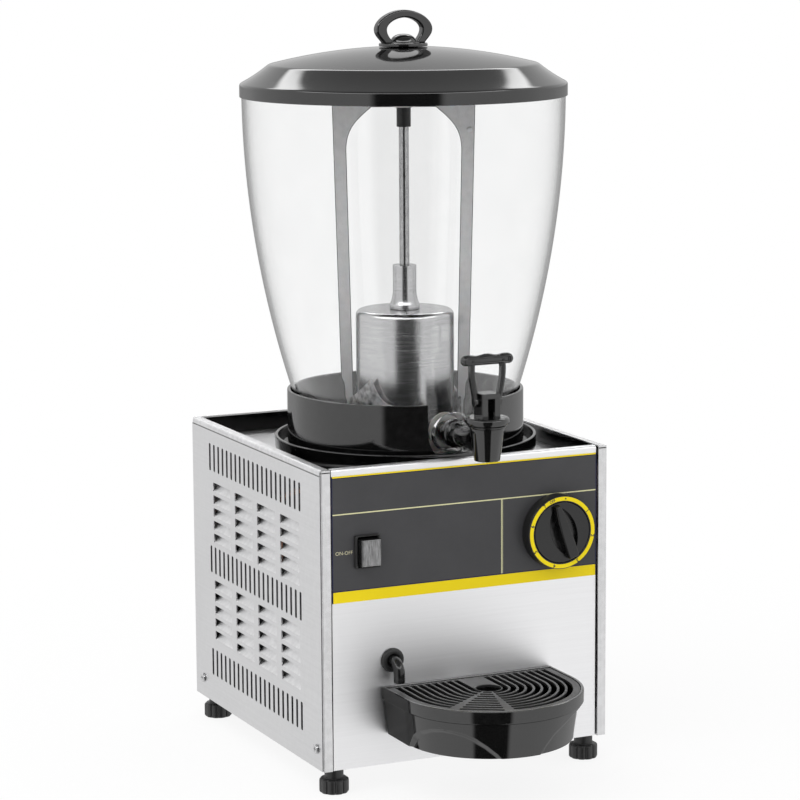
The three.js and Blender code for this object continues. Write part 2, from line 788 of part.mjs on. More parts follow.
function evaporatorShell() {
  const flangeTop = deckZ - sheet - clearance;
  const flangeBottom = flangeTop - evaporatorWall;
  const inner = evaporatorRadius - evaporatorWall;
  const corner = evaporatorRadius - evaporatorShoulder;
  const steps = 2;
  const shoulder = Array.from({ length: steps + 1 }, (_, i) => {
    const angle = (i / steps) * (Math.PI / 2);
    return [corner + evaporatorShoulder * Math.cos(angle),
      evaporatorTop - evaporatorShoulder + evaporatorShoulder * Math.sin(angle)];
  });
  const hole = coneSpigotRadius + clearance;
  return turned([[inner, flangeBottom], [evaporatorFlange, flangeBottom], [evaporatorFlange, flangeTop],
    [evaporatorRadius, flangeTop], ...shoulder, [hole, evaporatorTop],
    [hole, evaporatorTop - evaporatorWall], [corner, evaporatorTop - evaporatorWall],
    [inner, evaporatorTop - evaporatorShoulder], [inner, flangeBottom]], largeFacets)
    .translate([0, bowlAxisY, 0]);
}

// The refrigerant coil: one helix of tube inside the cold cylinder.
class Helix extends THREE.Curve {
  getPoint(t, target = new THREE.Vector3()) {
    const angle = t * coilTurns * 2 * Math.PI + Math.PI / 2;
    return target.set(coilRadius * Math.cos(angle), coilRadius * Math.sin(angle),
      coilBottom + t * coilTurns * coilPitch);
  }
}

function evaporatorCoil() {
  return tubeAlong(new Helix(), coilTube, 0, coilTurns * coilSteps).translate([0, bowlAxisY, 0]);
}

function bearingCone() {
  const bore = shaftRadius + clearance;
  const base = evaporatorTop + clearance;
  const top = base + coneHeight;
  return turned([[bore, base - coneSpigotLength], [coneSpigotRadius, base - coneSpigotLength],
    [coneSpigotRadius, base], [coneBaseRadius, base], [coneBaseRadius, base + coneFlare / 4],
    [(coneBaseRadius + coneNeckRadius) / 2, base + coneFlare / 2], [coneNeckRadius, base + coneFlare],
    [coneNeckRadius, top - clearance], [coneNeckRadius - clearance, top], [bore, top],
    [bore, base - coneSpigotLength]], mediumFacets).translate([0, bowlAxisY, 0]);
}

function driveShaft() {
  const bottom = gearboxTop - shaftSocket + clearance;
  return bar(shaftRadius, bottom, shaftRadius, shaftTop, smallFacets).translate([0, bowlAxisY, 0]);
}

function mixerMotorBracket() {
  const half = motorBracketWidth / 2;
  const depth = motorBracketDepth / 2;
  const top = deckZ - sheet - clearance;
  const plateBottom = bracketPlateTop - motorBracketSheet;
  const plate = box(-half, half, -depth, depth, plateBottom, bracketPlateTop);
  const ears = [-1, 1].map((side) => {
    const edges = [side * half, side * (half - motorBracketSheet)].sort((a, b) => a - b);
    return box(edges[0], edges[1], -depth, depth, plateBottom, top);
  });
  const feet = [-1, 1].map((side) => {
    const edges = [side * half, side * (half + motorBracketDrop)].sort((a, b) => a - b);
    return box(edges[0], edges[1], -depth, depth, top - motorBracketSheet, top);
  });
  const hole = bar(2 * shaftRadius, plateBottom - overrun, 2 * shaftRadius, bracketPlateTop + overrun,
    smallFacets);
  return cut(join(plate, ...ears, ...feet), hole).translate([0, bowlAxisY, 0]);
}

function mixerMotor() {
  const [w, d] = [gearboxWidth / 2, gearboxDepth / 2];
  const bottom = gearboxTop - gearboxHeight;
  const gearbox = box(-w, w, -d, d, bottom, gearboxTop);
  const can = bar(motorRadius - sheet, bottom - motorLength, motorRadius, bottom + overrun, mediumFacets);
  const socket = bar(shaftRadius + clearance, gearboxTop - shaftSocket, shaftRadius + clearance,
    gearboxTop + overrun, smallFacets);
  return cut(join(gearbox, can), socket).translate([0, bowlAxisY, 0]);
}

function compressor() {
  const base = panFloor + clearance + compressorPad;
  const top = base + compressorHeight;
  const shoulder = compressorRadius * compressorShoulderShare;
  const can = turned([[0, base], [shoulder, base], [compressorRadius, base + compressorDome],
    [compressorRadius, top - compressorDome], [shoulder, top], [0, top]], mediumFacets);
  const plate = box(-compressorBaseLength / 2, compressorBaseLength / 2, -compressorBaseWidth / 2,
    compressorBaseWidth / 2, base, base + compressorBaseSheet);
  const pads = [[-1, -1], [1, -1], [-1, 1], [1, 1]].map(([sx, sy]) => (
    bar(compressorPadRadius, panFloor + clearance, compressorPadRadius, base + compressorBaseSheet / 2,
      smallFacets).translate([sx * (compressorBaseLength / 2 - compressorPadRadius),
      sy * (compressorBaseWidth / 2 - compressorPadRadius), 0])));
  return join(can, plate, ...pads).translate([compressorX, compressorY, 0]);
}

function condenser() {
  const half = condenserWidth / 2;
  const core = box(-half, half, -condenserCore / 2, condenserCore / 2, condenserBottom, condenserTop);
  const pitch = (condenserWidth - finThickness) / (finCount - 1);
  const fins = Array.from({ length: finCount }, (_, i) => {
    const x = -half + finThickness / 2 + i * pitch;
    return box(x - finThickness / 2, x + finThickness / 2, -condenserDepth / 2, condenserDepth / 2,
      condenserBottom, condenserTop);
  });
  return join(core, ...fins).translate([condenserX, condenserY, 0]);
}

function fanShroud() {
  const half = condenserWidth / 2;
  const back = condenserFront - clearance;
  const frame = box(-half, half, shroudFront, back, condenserBottom, condenserTop);
  const hole = forwards(bar(fanHoleRadius, 0, fanHoleRadius, shroudDepth + 2 * overrun, mediumFacets),
    0, back + overrun, fanZ);
  const hollow = cut(
    box(-half + shroudSheet, half - shroudSheet, shroudFront + shroudSheet, back + overrun,
      condenserBottom + shroudSheet, condenserTop - shroudSheet),
    forwards(bar(fanHoleRadius + shroudSheet, 0, fanHoleRadius + shroudSheet,
      shroudDepth + 2 * overrun, mediumFacets), 0, back + 2 * overrun, fanZ));
  return cut(frame, hole, hollow).translate([condenserX, 0, 0]);
}

function fanBlades() {
  const hub = bar(fanHubRadius, 0, fanHubRadius, fanDepth, mediumFacets);
  const blades = Array.from({ length: fanBladeCount }, (_, i) => {
    const blade = box(fanHubRadius / 2, fanRadius, -fanBladeThickness / 2, fanBladeThickness / 2,
      -fanDepth, fanDepth);
    return blade.rotate([fanPitch, 0, 0]).translate([0, 0, fanDepth / 2])
      .rotate([0, 0, (360 / fanBladeCount) * i]);
  });
  const space = bar(fanRadius, 0, fanRadius, fanDepth, mediumFacets);
  const bore = bar(fanSpindle + clearance, -overrun, fanSpindle + clearance, fanDepth + overrun,
    smallFacets);
  return cut(join(hub, ...blades).intersect(space), bore);
}

function fanMotor() {
  const back = fanFront - fanMotorGap;
  const can = forwards(bar(fanMotorRadius, 0, fanMotorRadius, fanMotorLength, mediumFacets), 0, back, fanZ);
  const spindle = forwards(bar(fanSpindle, 0, fanSpindle, fanMotorGap + fanDepth + overrun, smallFacets),
    0, fanFront + fanDepth - clearance, fanZ);
  const leg = box(-fanMotorLegWidth / 2, fanMotorLegWidth / 2, back - fanMotorLength / 2 - shroudSheet / 2,
    back - fanMotorLength / 2 + shroudSheet / 2, panFloor + clearance, fanZ);
  const foot = box(-fanMotorLegWidth, fanMotorLegWidth, back - fanMotorLength, back,
    panFloor + clearance, panFloor + clearance + shroudSheet);
  return join(can, spindle, leg, foot).translate([condenserX, 0, 0]);
}

function pipe(points) {
  const path = new THREE.CatmullRomCurve3(points.map(([x, y, z]) => new THREE.Vector3(x, y, z)),
    false, 'centripetal');
  return tubeAlong(path, pipeRadius, 0, pipeSteps);
}

const drierX = condenserX + condenserWidth / 2 - 2 * drierRadius;
const drierBottom = condenserTop + clearance;
const drierTop = drierBottom + drierLength + 2 * drierStub;

function filterDrier() {
  const waist = drierRadius / 2;
  return turned([[0, drierBottom], [waist, drierBottom], [waist, drierBottom + drierStub],
    [drierRadius, drierBottom + 2 * drierStub], [drierRadius, drierTop - 2 * drierStub],
    [waist, drierTop - drierStub], [waist, drierTop], [0, drierTop]], smallFacets)
    .translate([drierX, condenserY, 0]);
}

// The pipes' routes start and end at their neighbours and bend through points chosen between.
function dischargeLine() {
  const compressorTop = panFloor + clearance + compressorPad + compressorHeight;
  const rise = 2 * compressorDome;
  const start = [compressorX, compressorY, compressorTop + clearance];
  const end = [condenserX - condenserWidth / 4, condenserY, condenserTop + clearance];
  return pipe([start, [start[0], start[1], start[2] + rise / 2],
    [start[0] + rise / 2, start[1] + rise / 4, start[2] + rise / 2 + pipeRadius],
    [end[0] - rise / 2, end[1], start[2] + rise / 2 + pipeRadius],
    [end[0], end[1], start[2] + rise / 4], end]);
}

function suctionLine() {
  const shoulder = compressorRadius * compressorShoulderShare;
  const compressorTop = panFloor + clearance + compressorPad + compressorHeight;
  const inside = deckZ;
  const startY = bowlAxisY + coilRadius;
  const end = [compressorX - shoulder / 2, compressorY, compressorTop + clearance];
  return pipe([[0, startY, coilBottom - coilTube - clearance], [0, startY, inside - motorBracketDrop],
    [end[0] / 2, (startY + end[1]) / 2, inside - 2 * motorBracketDrop],
    [end[0], end[1], inside - 3 * motorBracketDrop], end]);
}

function capillaryLine() {
  const startY = bowlAxisY + coilRadius;
  const x = coilRadius / 3;
  return pipe([[drierX, condenserY, drierTop + clearance],
    [drierX, condenserY, drierTop + drierRadius],
    [drierX, condenserY - drierRadius, drierTop + motorBracketDrop],
    [(drierX + x) / 2, (condenserY + startY) / 2, drierTop + motorBracketDrop],
    [x, startY, deckZ - motorBracketDrop / 2],
    [x, startY - pipeRadius, coilBottom - coilTube - 3 * pipeRadius]]);
}

function thermostat() {
  const back = panelBack + clearance;
  const [w, h] = [thermostatWidth / 2, thermostatHeight / 2];
  const body = box(dialX - w, dialX + w, back, back + thermostatDepth, dialZ - h, dialZ + h);
  const nut = forwards(bar(collarNutRadius - clearance, 0, collarNutRadius - clearance,
    back - labelFront + clearance + overrun, smallFacets), dialX, back + overrun, dialZ);
  const front = labelFront - clearance - dialDepth;
  const spindle = forwards(bar(spindleRadius, 0, spindleRadius, back - front + overrun, smallFacets),
    dialX, back + overrun, dialZ);
  return join(body, nut, spindle);
}

function dialBezel() {
  const bore = collarNutRadius;
  const cup = turned([[bore, 0], [dialRadius, 0], [dialRadius, dialDepth - clearance],
    [dialRadius - clearance, dialDepth], [knobRadius + clearance, dialDepth],
    [knobRadius + clearance, dialBase], [bore, dialBase], [bore, 0]], largeFacets);
  return forwards(cup, dialX, labelFront - clearance, dialZ);
}

// The knob is drawn about Z, its tapered grip along +Y, and turned to the off mark.
function thermostatKnob() {
  const disc = turned([[0, 0], [knobRadius - 2 * clearance, 0], [knobRadius, knobDepth / 2],
    [knobRadius - 2 * clearance, knobDepth], [0, knobDepth]], largeFacets);
  const grip = outlineOf([[-gripTipWidth / 2, gripLength], [-gripBackWidth / 2, 0],
    [-gripTipWidth / 2, -gripLength], [gripTipWidth / 2, -gripLength], [gripBackWidth / 2, 0],
    [gripTipWidth / 2, gripLength]]);
  const rib = raised(grip, knobDepth / 2, knobDepth + gripHeight, 1);
  const bore = bar(spindleRadius + clearance, -overrun, spindleRadius + clearance,
    dialDepth - dialBase + clearance, smallFacets);
  return cut(join(disc, rib), bore).rotate([0, 0, offAngle]);
}

function switchHousing() {
  const front = labelFront - clearance;
  const [bw, bh] = [bezelWidth / 2, bezelHeight / 2];
  const [w, h] = [housingWidth / 2, housingHeight / 2];
  const bezel = box(switchX - bw, switchX + bw, front - bezelDepth, front, switchZ - bh, switchZ + bh);
  const body = box(switchX - w, switchX + w, front - overrun / 2, front + housingDepth,
    switchZ - h, switchZ + h);
  const [pw, ph] = [rockerWidth / 2 + clearance, rockerHeight / 2 + rockerRoom];
  const pocket = box(switchX - pw, switchX + pw, front - bezelDepth - overrun,
    front - bezelDepth + rockerPivotIn + 2 * rockerBack, switchZ - ph, switchZ + ph);
  return cut(join(bezel, body), pocket);
}

// The rocker, drawn about its pivot: a raised block in front, a rounded back behind.
function rocker() {
  const w = rockerWidth / 2;
  const h = rockerHeight / 2;
  const front = -(rockerPivotIn + rockerProud);
  const profile = outlineOf([[front, -h], [front, h], [0, h], [rockerBack, h / 3],
    [rockerBack, -h / 3], [0, -h]]);
  const geometry = new THREE.ExtrudeGeometry(profile, { depth: rockerWidth, bevelEnabled: false });
  geometry.rotateY(Math.PI / 2).rotateX(Math.PI / 2);
  const body = solid(geometry);
  const bounds = body.boundingBox();
  return body.translate([-(bounds.min[0] + bounds.max[0]) / 2, 0, 0])
    .intersect(box(-w, w, front - overrun, rockerBack + overrun, -h, h));
}

function drainGrommet() {
  const front = panelSetback - clearance;
  const length = grommetFlange + clearance + sheet + grommetFlange;
  const bore = drainRadius + 2 * clearance;
  return forwards(turned([[bore, 0], [grommetNeck, 0], [grommetNeck, length - grommetFlange],
    [grommetRadius, length - grommetFlange], [grommetRadius, length - grommetFlange / 3],
    [grommetRadius - grommetFlange / 2, length], [bore, length], [bore, 0]], mediumFacets),
  drainX, front + clearance + sheet + grommetFlange, drainZ);
}

// The stiff drain pipe drops from the deck, turns out through the grommet and ends over the tray.
function drainElbow() {
  const end = panelSetback - drainReach;
  const top = deckZ - sheet - clearance;
  const path = new THREE.CurvePath();
  const at = (y, z) => new THREE.Vector3(drainX, y, z);
  const corner = (a, b, c) => new THREE.QuadraticBezierCurve3(a, b, c);
  path.add(new THREE.LineCurve3(at(drainColumnY, top), at(drainColumnY, drainZ + drainBend)));
  path.add(corner(at(drainColumnY, drainZ + drainBend), at(drainColumnY, drainZ),
    at(drainColumnY - drainBend, drainZ)));
  path.add(new THREE.LineCurve3(at(drainColumnY - drainBend, drainZ), at(end + drainBend, drainZ)));
  path.add(corner(at(end + drainBend, drainZ), at(end, drainZ), at(end, drainZ - drainBend)));
  path.add(new THREE.LineCurve3(at(end, drainZ - drainBend), at(end, drainEndZ)));
  return tubeAlong(path, drainRadius, drainBore, drainSteps);
}

// The tray's plan: straight at the back, then a half circle, all drawn in by an inset.
function trayOutline(inset, back) {
  const half = trayHalfWidth - inset;
  const centre = trayBackY - trayStraight;
  const outline = new THREE.Shape();
  outline.moveTo(half, back);
  outline.lineTo(-half, back);
  outline.lineTo(-half, centre);
  outline.absarc(0, centre, half, Math.PI, 2 * Math.PI);
  return outline;
}

// The same plan raised from z0 to z1, narrowing downwards by a draft.
function trayBlock(inset, draft, back, z0, z1) {
  const options = { depth: z1 - z0, bevelEnabled: false, curveSegments: trayFacets };
  const geometry = new THREE.ExtrudeGeometry(trayOutline(inset, back), options).translate(0, 0, z0);
  const places = geometry.attributes.position;
  const half = trayHalfWidth - inset;
  for (let i = 0; i < places.count; i += 1) {
    const scale = places.getZ(i) > (z0 + z1) / 2 ? 1 : 1 - draft / half;
    places.setX(i, places.getX(i) * scale);
    places.setY(i, trayBackY + (places.getY(i) - trayBackY) * scale);
  }
  return solid(geometry);
}

function dripTray() {
  const bandBottom = trayTop - trayBand;
  const grateZ = trayTop - grateDrop - grateThickness - clearance;
  const floor = trayBottom + trayFloorRise;
  const back = trayBackY;
  const band = trayBlock(0, 0, back, bandBottom, trayTop);
  const body = trayBlock(trayStep, trayDraft, back, trayBottom, bandBottom + clearance);
  const rebate = trayBlock(trayWall, 0, back - trayWall, grateZ, trayTop + overrun);
  const inside = trayBlock(trayWall + trayLedge, trayDraft, back - trayWall - trayLedge,
    floor + trayWall, grateZ + overrun);
  const armSpace = trayBlock(trayStep + trayDraft + trayWall, 0, back + overrun, trayBottom - overrun,
    floor);
  return cut(join(band, body), rebate, inside, armSpace);
}

// Slits follow the plan round the centre hole and stop beside a fan of straight slits.
function dripGrate() {
  const centre = trayBackY - trayStraight;
  const top = trayTop - grateDrop;
  const bottom = top - grateThickness;
  const edge = trayWall + clearance;
  const plate = trayBlock(edge, 0, trayBackY - edge, bottom, top);
  const slits = [];
  const back = trayBackY - edge - grateBar;
  const outerEdge = trayHalfWidth - edge - slitPitch / 2;
  const slitArc = (radius, side) => {
    const [r0, r1] = [radius - slitWidth / 2, radius + slitWidth / 2];
    const stop = (fanAngle + side * fanStrip) * degrees;
    const start = side > 0 ? 0 : -Math.PI;
    const shape = new THREE.Shape();
    shape.moveTo(side * r1, back);
    shape.lineTo(side * r1, centre);
    shape.absarc(0, centre, r1, start, stop, side > 0);
    shape.lineTo(r0 * Math.cos(stop), centre + r0 * Math.sin(stop));
    shape.absarc(0, centre, r0, stop, start, side < 0);
    shape.lineTo(side * r0, back);
    return raised(shape, bottom - overrun, top + overrun, slitFacets);
  };
  for (let radius = grateHole + slitPitch / 2; radius < outerEdge; radius += slitPitch) {
    const reach = radius * Math.tan(fanHalf * degrees);
    const chord = box(radius - chordWidth / 2, radius + chordWidth / 2, -reach, reach,
      bottom - overrun, top + overrun);
    slits.push(slitArc(radius, 1), slitArc(radius, -1),
      chord.rotate([0, 0, fanAngle]).translate([0, centre, 0]));
  }
  const hole = bar(grateHole, bottom - overrun, grateHole, top + overrun, mediumFacets)
    .translate([0, centre, 0]);
  return cut(plate, hole, ...slits);
}

function trayBracket() {
  const top = trayBottom + trayFloorRise - clearance;
  const bottom = top - trayFloorRise + 2 * clearance;
  const half = bracketArmX + bracketArmWidth;
  const plate = box(-half, half, bracketFront, panelSetback - clearance, bottom - bracketHeight / 2, top);
  const arms = [-1, 1].map((side) => {
    const edges = [side * bracketArmX, side * half].sort((a, b) => a - b);
    return box(edges[0], edges[1], bracketFront - bracketArm, bracketFront + bracketSheet / 2, bottom, top);
  });
  return join(plate, ...arms);
}

// One foot, drawn about its own axis from the table up
function screwFoot() {
  const points = Array.from({ length: lobeCorners * footLobes }, (_, i) => {
    const angle = (i / (lobeCorners * footLobes)) * 2 * Math.PI;
    const radius = i % lobeCorners === 0 ? footKnobRadius - footLobe : footKnobRadius;
    return [radius * Math.cos(angle), radius * Math.sin(angle)];
  });
  const knob = raised(outlineOf(points), 0, footKnobHeight, 1);
  const neck = bar(footNeckRadius, footKnobHeight - overrun / 2, footNeckRadius, footHeight - clearance,
    mediumFacets);
  const stud = bar(footStudRadius, footHeight - overrun, footStudRadius, footHeight + footStudLength,
    smallFacets);
  return join(knob, neck, stud);
}

function sideScrew() {
  const head = turned([[0, 0], [sideScrewRadius, 0], [sideScrewRadius, sideScrewHead / 3],
    [sideScrewRadius / 2, sideScrewHead], [0, sideScrewHead]], smallFacets);
  const shank = bar(sideScrewShank, -sideScrewLength, sideScrewShank, sideScrewHead / 3, smallFacets);
  return join(head, shank);
}

// One side of the bowl's wall from a floor level to the rim, set in from the outside by a wall.
function bowlLine(floor, wall) {
  const foot = bowlRadiusAt(floor) - wall - bowlCorner;
  const levels = Array.from({ length: bowlLevels + 1 }, (_, i) => {
    const z = floor + bowlCorner + (i / bowlLevels) * (bowlTop - floor - bowlCorner);
    return [bowlRadiusAt(z) - wall, z];
  });
  const bend = [foot + bowlCorner * (1 - cornerShare), floor + bowlCorner * cornerShare];
  return [[foot, floor], bend, ...levels];
}

// The bowl: a curved wall, a floor with a hub round the cold cylinder and a boss for the tap.
function bowl() {
  const hubInner = evaporatorRadius + clearance + gasketWall + clearance;
  const hubTop = bowlBottom + bowlHubHeight;
  const floor = bowlBottom + bowlWall;
  const outside = turned([[0, bowlBottom], ...bowlLine(bowlBottom, 0), [0, bowlTop]], largeFacets);
  const brim = bowlTopRadius - bowlWall;
  const hubOuter = hubInner + bowlHubWall;
  const inside = turned([[hubOuter, floor], ...bowlLine(floor, bowlWall), [brim, bowlTop + overrun],
    [0, bowlTop + overrun], [0, hubTop], [hubOuter, hubTop], [hubOuter, floor]], largeFacets);
  const centre = bar(hubInner, bowlBottom - overrun, hubInner, hubTop + overrun, largeFacets);
  const face = portRingFace - bowlAxisY;
  const wallInside = -(bowlRadiusAt(portZ) - 2 * bowlWall);
  const boss = forwards(bar(portRingRadius, 0, portRingRadius, wallInside - face, mediumFacets), 0,
    wallInside, portZ);
  const hole = forwards(bar(shankRadius + clearance, 0, shankRadius + clearance,
    wallInside - face + 2 * overrun, mediumFacets), 0, wallInside + overrun, portZ);
  return cut(join(outside, boss), inside, centre, hole);
}

function bowlGasket() {
  const inner = evaporatorRadius + clearance;
  return turned([[inner, bowlBottom + clearance], [inner + gasketWall, bowlBottom + clearance],
    [inner + gasketWall, bowlBottom + gasketHeight], [inner + gasketWall / 2, bowlBottom + bowlHubHeight],
    [inner, bowlBottom + gasketHeight], [inner, bowlBottom + clearance]], largeFacets);
}

// The tap's pieces are drawn about the spout's axis, the shank running back along +Y.
function tapBody() {
  const face = portRingFace - tapY - clearance;
  const inside = bowlAxisY - bowlRadiusAt(portZ) + bowlWall + shankInside - tapY;
  const spout = turned([[0, spoutBottom], [spoutBottomRadius, spoutBottom], [spoutTopRadius, spoutTop],
    [0, spoutTop]], mediumFacets);
  const shank = forwards(bar(shankRadius, 0, shankRadius, inside, mediumFacets), 0, inside, portZ);
  const nut = forwards(turned([[0, 0], [shankNutRadius, 0], [shankNutRadius, shankNutLength / 2],
    [shankRadius, shankNutLength], [0, shankNutLength]], mediumFacets), 0, face, portZ);
  const bore = turned([[0, spoutBottom - overrun], [spoutOutletBore, spoutBottom - overrun],
    [spoutOutletBore, spoutBottom + seatHeight / 4], [spoutBore, spoutBottom + seatHeight / 2],
    [spoutBore, spoutTop + overrun], [0, spoutTop + overrun]], mediumFacets);
  const duct = forwards(bar(shankBore, 0, shankBore, inside + overrun, smallFacets), 0,
    inside + overrun, portZ);
  return cut(join(spout, shank, nut), bore, duct);
}

function tapWasher() {
  const y = bowlAxisY - bowlRadiusAt(portZ) + bowlWall - tapY + washerSeat();
  return forwards(ring(shankRadius + clearance, washerRadius, 0, washerThickness, mediumFacets), 0,
    y + washerThickness, portZ);
}

// The wall is curved, so a flat washer stands off its middle by this much.
function washerSeat() {
  const radius = bowlRadiusAt(portZ - washerRadius) - bowlWall;
  const reach = Math.sqrt(radius * radius - washerRadius * washerRadius);
  return bowlRadiusAt(portZ) - bowlWall - reach + clearance;
}

function tapLocknut() {
  const y = bowlAxisY - bowlRadiusAt(portZ) + bowlWall - tapY + washerSeat() + washerThickness + clearance;
  const bore = shankRadius + clearance;
  const hole = bar(bore, -overrun, bore, locknutThickness + overrun, mediumFacets);
  const nut = cut(bar(locknutRadius, 0, locknutRadius, locknutThickness, hexagon), hole);
  return forwards(nut, 0, y + locknutThickness, portZ);
}

function tapBonnet() {
  const base = spoutTop + clearance;
  const top = base + bonnetHeight;
  const half = blockWidth / 2;
  const disc = turned([[0, base], [bonnetRadius - bonnetSkirt, base], [bonnetRadius, base + bonnetSkirt],
    [bonnetRadius, top - bonnetSkirt], [bonnetRadius - bonnetSkirt, top], [0, top]], mediumFacets);
  const block = box(-half, half, -half, half, top - overrun, top + blockHeight);
  const slot = box(-blockSlot / 2, blockSlot / 2, -half - overrun, half / 2, top,
    top + blockHeight - blockSlotTop);
  const bore = bar(stemRadius + clearance, base - overrun, stemRadius + clearance, top + overrun,
    smallFacets);
  const cross = bar(leverPin + clearance, -half - overrun, leverPin + clearance, half + overrun, smallFacets)
    .rotate([0, 90, 0]).translate([0, 0, top + blockHeight - leverPivotDrop]);
  return cut(join(disc, block), slot, bore, cross);
}

function tapStem() {
  const blockBase = spoutTop + clearance + bonnetHeight;
  const pivotZ = blockBase + blockHeight - leverPivotDrop;
  const top = pivotZ - leverPin - plungerTravel - clearance;
  return bar(stemRadius, spoutBottom + seatHeight, stemRadius, top, smallFacets);
}

function tapSeatCup() {
  const bottom = spoutBottom + seatHeight / 2 + clearance;
  const top = bottom + seatHeight;
  const bore = stemRadius + clearance;
  return turned([[0, bottom], [seatRadius / 2, bottom], [seatRadius, bottom + seatHeight / 4],
    [seatRadius, top], [bore, top], [bore, spoutBottom + seatHeight - clearance],
    [0, spoutBottom + seatHeight - clearance]], mediumFacets);
}

// The lever: a cross bar on two bowed arms, which share one pin through the block.
function tapHandle() {
  const pivotZ = spoutTop + clearance + bonnetHeight + blockHeight - leverPivotDrop;
  const inner = blockWidth / 2 + clearance;
  const outer = inner + leverArm;
  const rise = leverBarZ - pivotZ;
  const [topInner, topOuter] = [leverSpread - leverArm / 2, leverSpread + leverArm / 2];
  const shape = new THREE.Shape();
  shape.moveTo(inner, -leverHubRadius);
  shape.lineTo(outer, -leverHubRadius);
  shape.lineTo(outer, leverHubRadius);
  shape.quadraticCurveTo(topOuter + leverBow, rise / 2, topOuter, rise);
  shape.lineTo(topInner, rise);
  shape.quadraticCurveTo(topInner + leverBow, rise / 2, inner, leverHubRadius);
  const arm = carried(shape, -leverArmDepth / 2, leverArmDepth / 2, slitFacets);
  const grip = bar(leverBarRadius, -leverBarLength / 2, leverBarRadius, leverBarLength / 2, smallFacets)
    .rotate([0, 90, 0]).translate([0, 0, rise]);
  const pin = bar(leverPin, -inner - leverArm / 2, leverPin, inner + leverArm / 2, smallFacets)
    .rotate([0, 90, 0]);
  return join(arm, arm.mirror([1, 0, 0]), grip, pin);
}

function lid() {
  const skirtTop = lidSkirtBottom + lidSkirtHeight;
  const inner = lidRadius - lidWall / 2;
  const rimGap = bowlTopRadius + clearance;
  const under = bowlTop + clearance;
  const lip = bowlRadiusAt(under - lidLipDepth) - bowlWall - clearance;
  return turned([
    [Math.min(inner, rimGap), lidSkirtBottom], [lidRadius, lidSkirtBottom], [lidRadius, skirtTop],
    [lidBevelRadius, lidBevelTop], [lidDomeRadius, lidDomeAt(lidDomeRadius)],
    [lidDomeRadius / 2, lidDomeAt(lidDomeRadius / 2)],
    [handleScrewRadius + clearance, lidApex], [handleScrewRadius + clearance, lidApex - lidWall],
    [lidDomeRadius / 2, lidDomeAt(lidDomeRadius / 2) - lidWall],
    [lidDomeRadius, lidDomeAt(lidDomeRadius) - lidWall],
    [lidBevelRadius, lidBevelTop - lidWall], [lidRadius - 2 * lidWall - bowlWall, skirtTop - lidWall],
    [lidRadius - 2 * lidWall - bowlWall, under - lidLipDepth],
    [lip, under - lidLipDepth], [lip, under], [rimGap, under], [rimGap, lidSkirtBottom],
  ], largeFacets);
}

// The lid's dome between its bevel and its middle is a shallow parabola.
function lidDomeAt(radius) {
  const share = radius / lidBevelRadius;
  return lidApex - (lidApex - lidBevelTop) * share * share;
}

// The loop's outline at a distance from its middle line: round on top, drawn in to its base.
function loopOutline(offset) {
  const base = lidApex + clearance + handleBaseThickness;
  const half = handleWidth / 2 - offset;
  const top = handleTop - offset;
  const middle = base + (handleTop - base) * loopWidestShare;
  const neck = handleNeckHalf - offset;
  return { base, half, top, middle, neck };
}

function traceLoop(path, { base, half, top, middle, neck }, foot) {
  const waist = base + (middle - base) * loopNeckShare;
  const flank = middle - (middle - base) * loopFlankShare;
  const shoulder = middle + (top - middle) * loopShoulderShare;
  const crown = half * loopCrownShare;
  path.moveTo(-neck, foot);
  path.bezierCurveTo(-neck, waist, -half, flank, -half, middle);
  path.bezierCurveTo(-half, shoulder, -crown, top, 0, top);
  path.bezierCurveTo(crown, top, half, shoulder, half, middle);
  path.bezierCurveTo(half, flank, neck, waist, neck, foot);
  return path;
}

function lidHandle() {
  const base = lidApex + clearance;
  const plateTop = base + handleBaseThickness;
  const outer = traceLoop(new THREE.Shape(), loopOutline(0), base + handleBaseThickness / 2);
  const innerLine = { ...loopOutline(handleBar), neck: handleNeckHalf - handleBar };
  const hole = traceLoop(new THREE.Shape(), innerLine, plateTop - overrun);
  const loop = cut(carried(outer, -handleDepth / 2, handleDepth / 2, loopFacets),
    carried(hole, -handleDepth, handleDepth, loopFacets));
  const disc = bar(handleBaseRadius, base, handleBaseRadius, plateTop, mediumFacets);
  const capLine = capProfileShares.map(([radiusShare, heightShare]) => (
    [handleCapRadius * radiusShare, plateTop + handleCapHeight * heightShare]));
  const cap = turned([[0, base], [handleCapRadius, base], ...capLine, [0, plateTop + handleCapHeight]],
    mediumFacets);
  const thread = bar(handleScrewRadius + clearance, base - overrun, handleScrewRadius + clearance,
    plateTop + handleCapHeight / 2, smallFacets);
  return cut(join(loop, disc, cap), thread);
}

function lidScrew() {
  const under = lidApex - lidWall - clearance;
  const top = lidApex + handleBaseThickness + handleCapHeight / 2;
  return turned([[0, under - handleScrewHeadHeight], [handleScrewHead, under - handleScrewHeadHeight],
    [handleScrewHead, under], [handleScrewRadius, under], [handleScrewRadius, top], [0, top]], smallFacets);
}

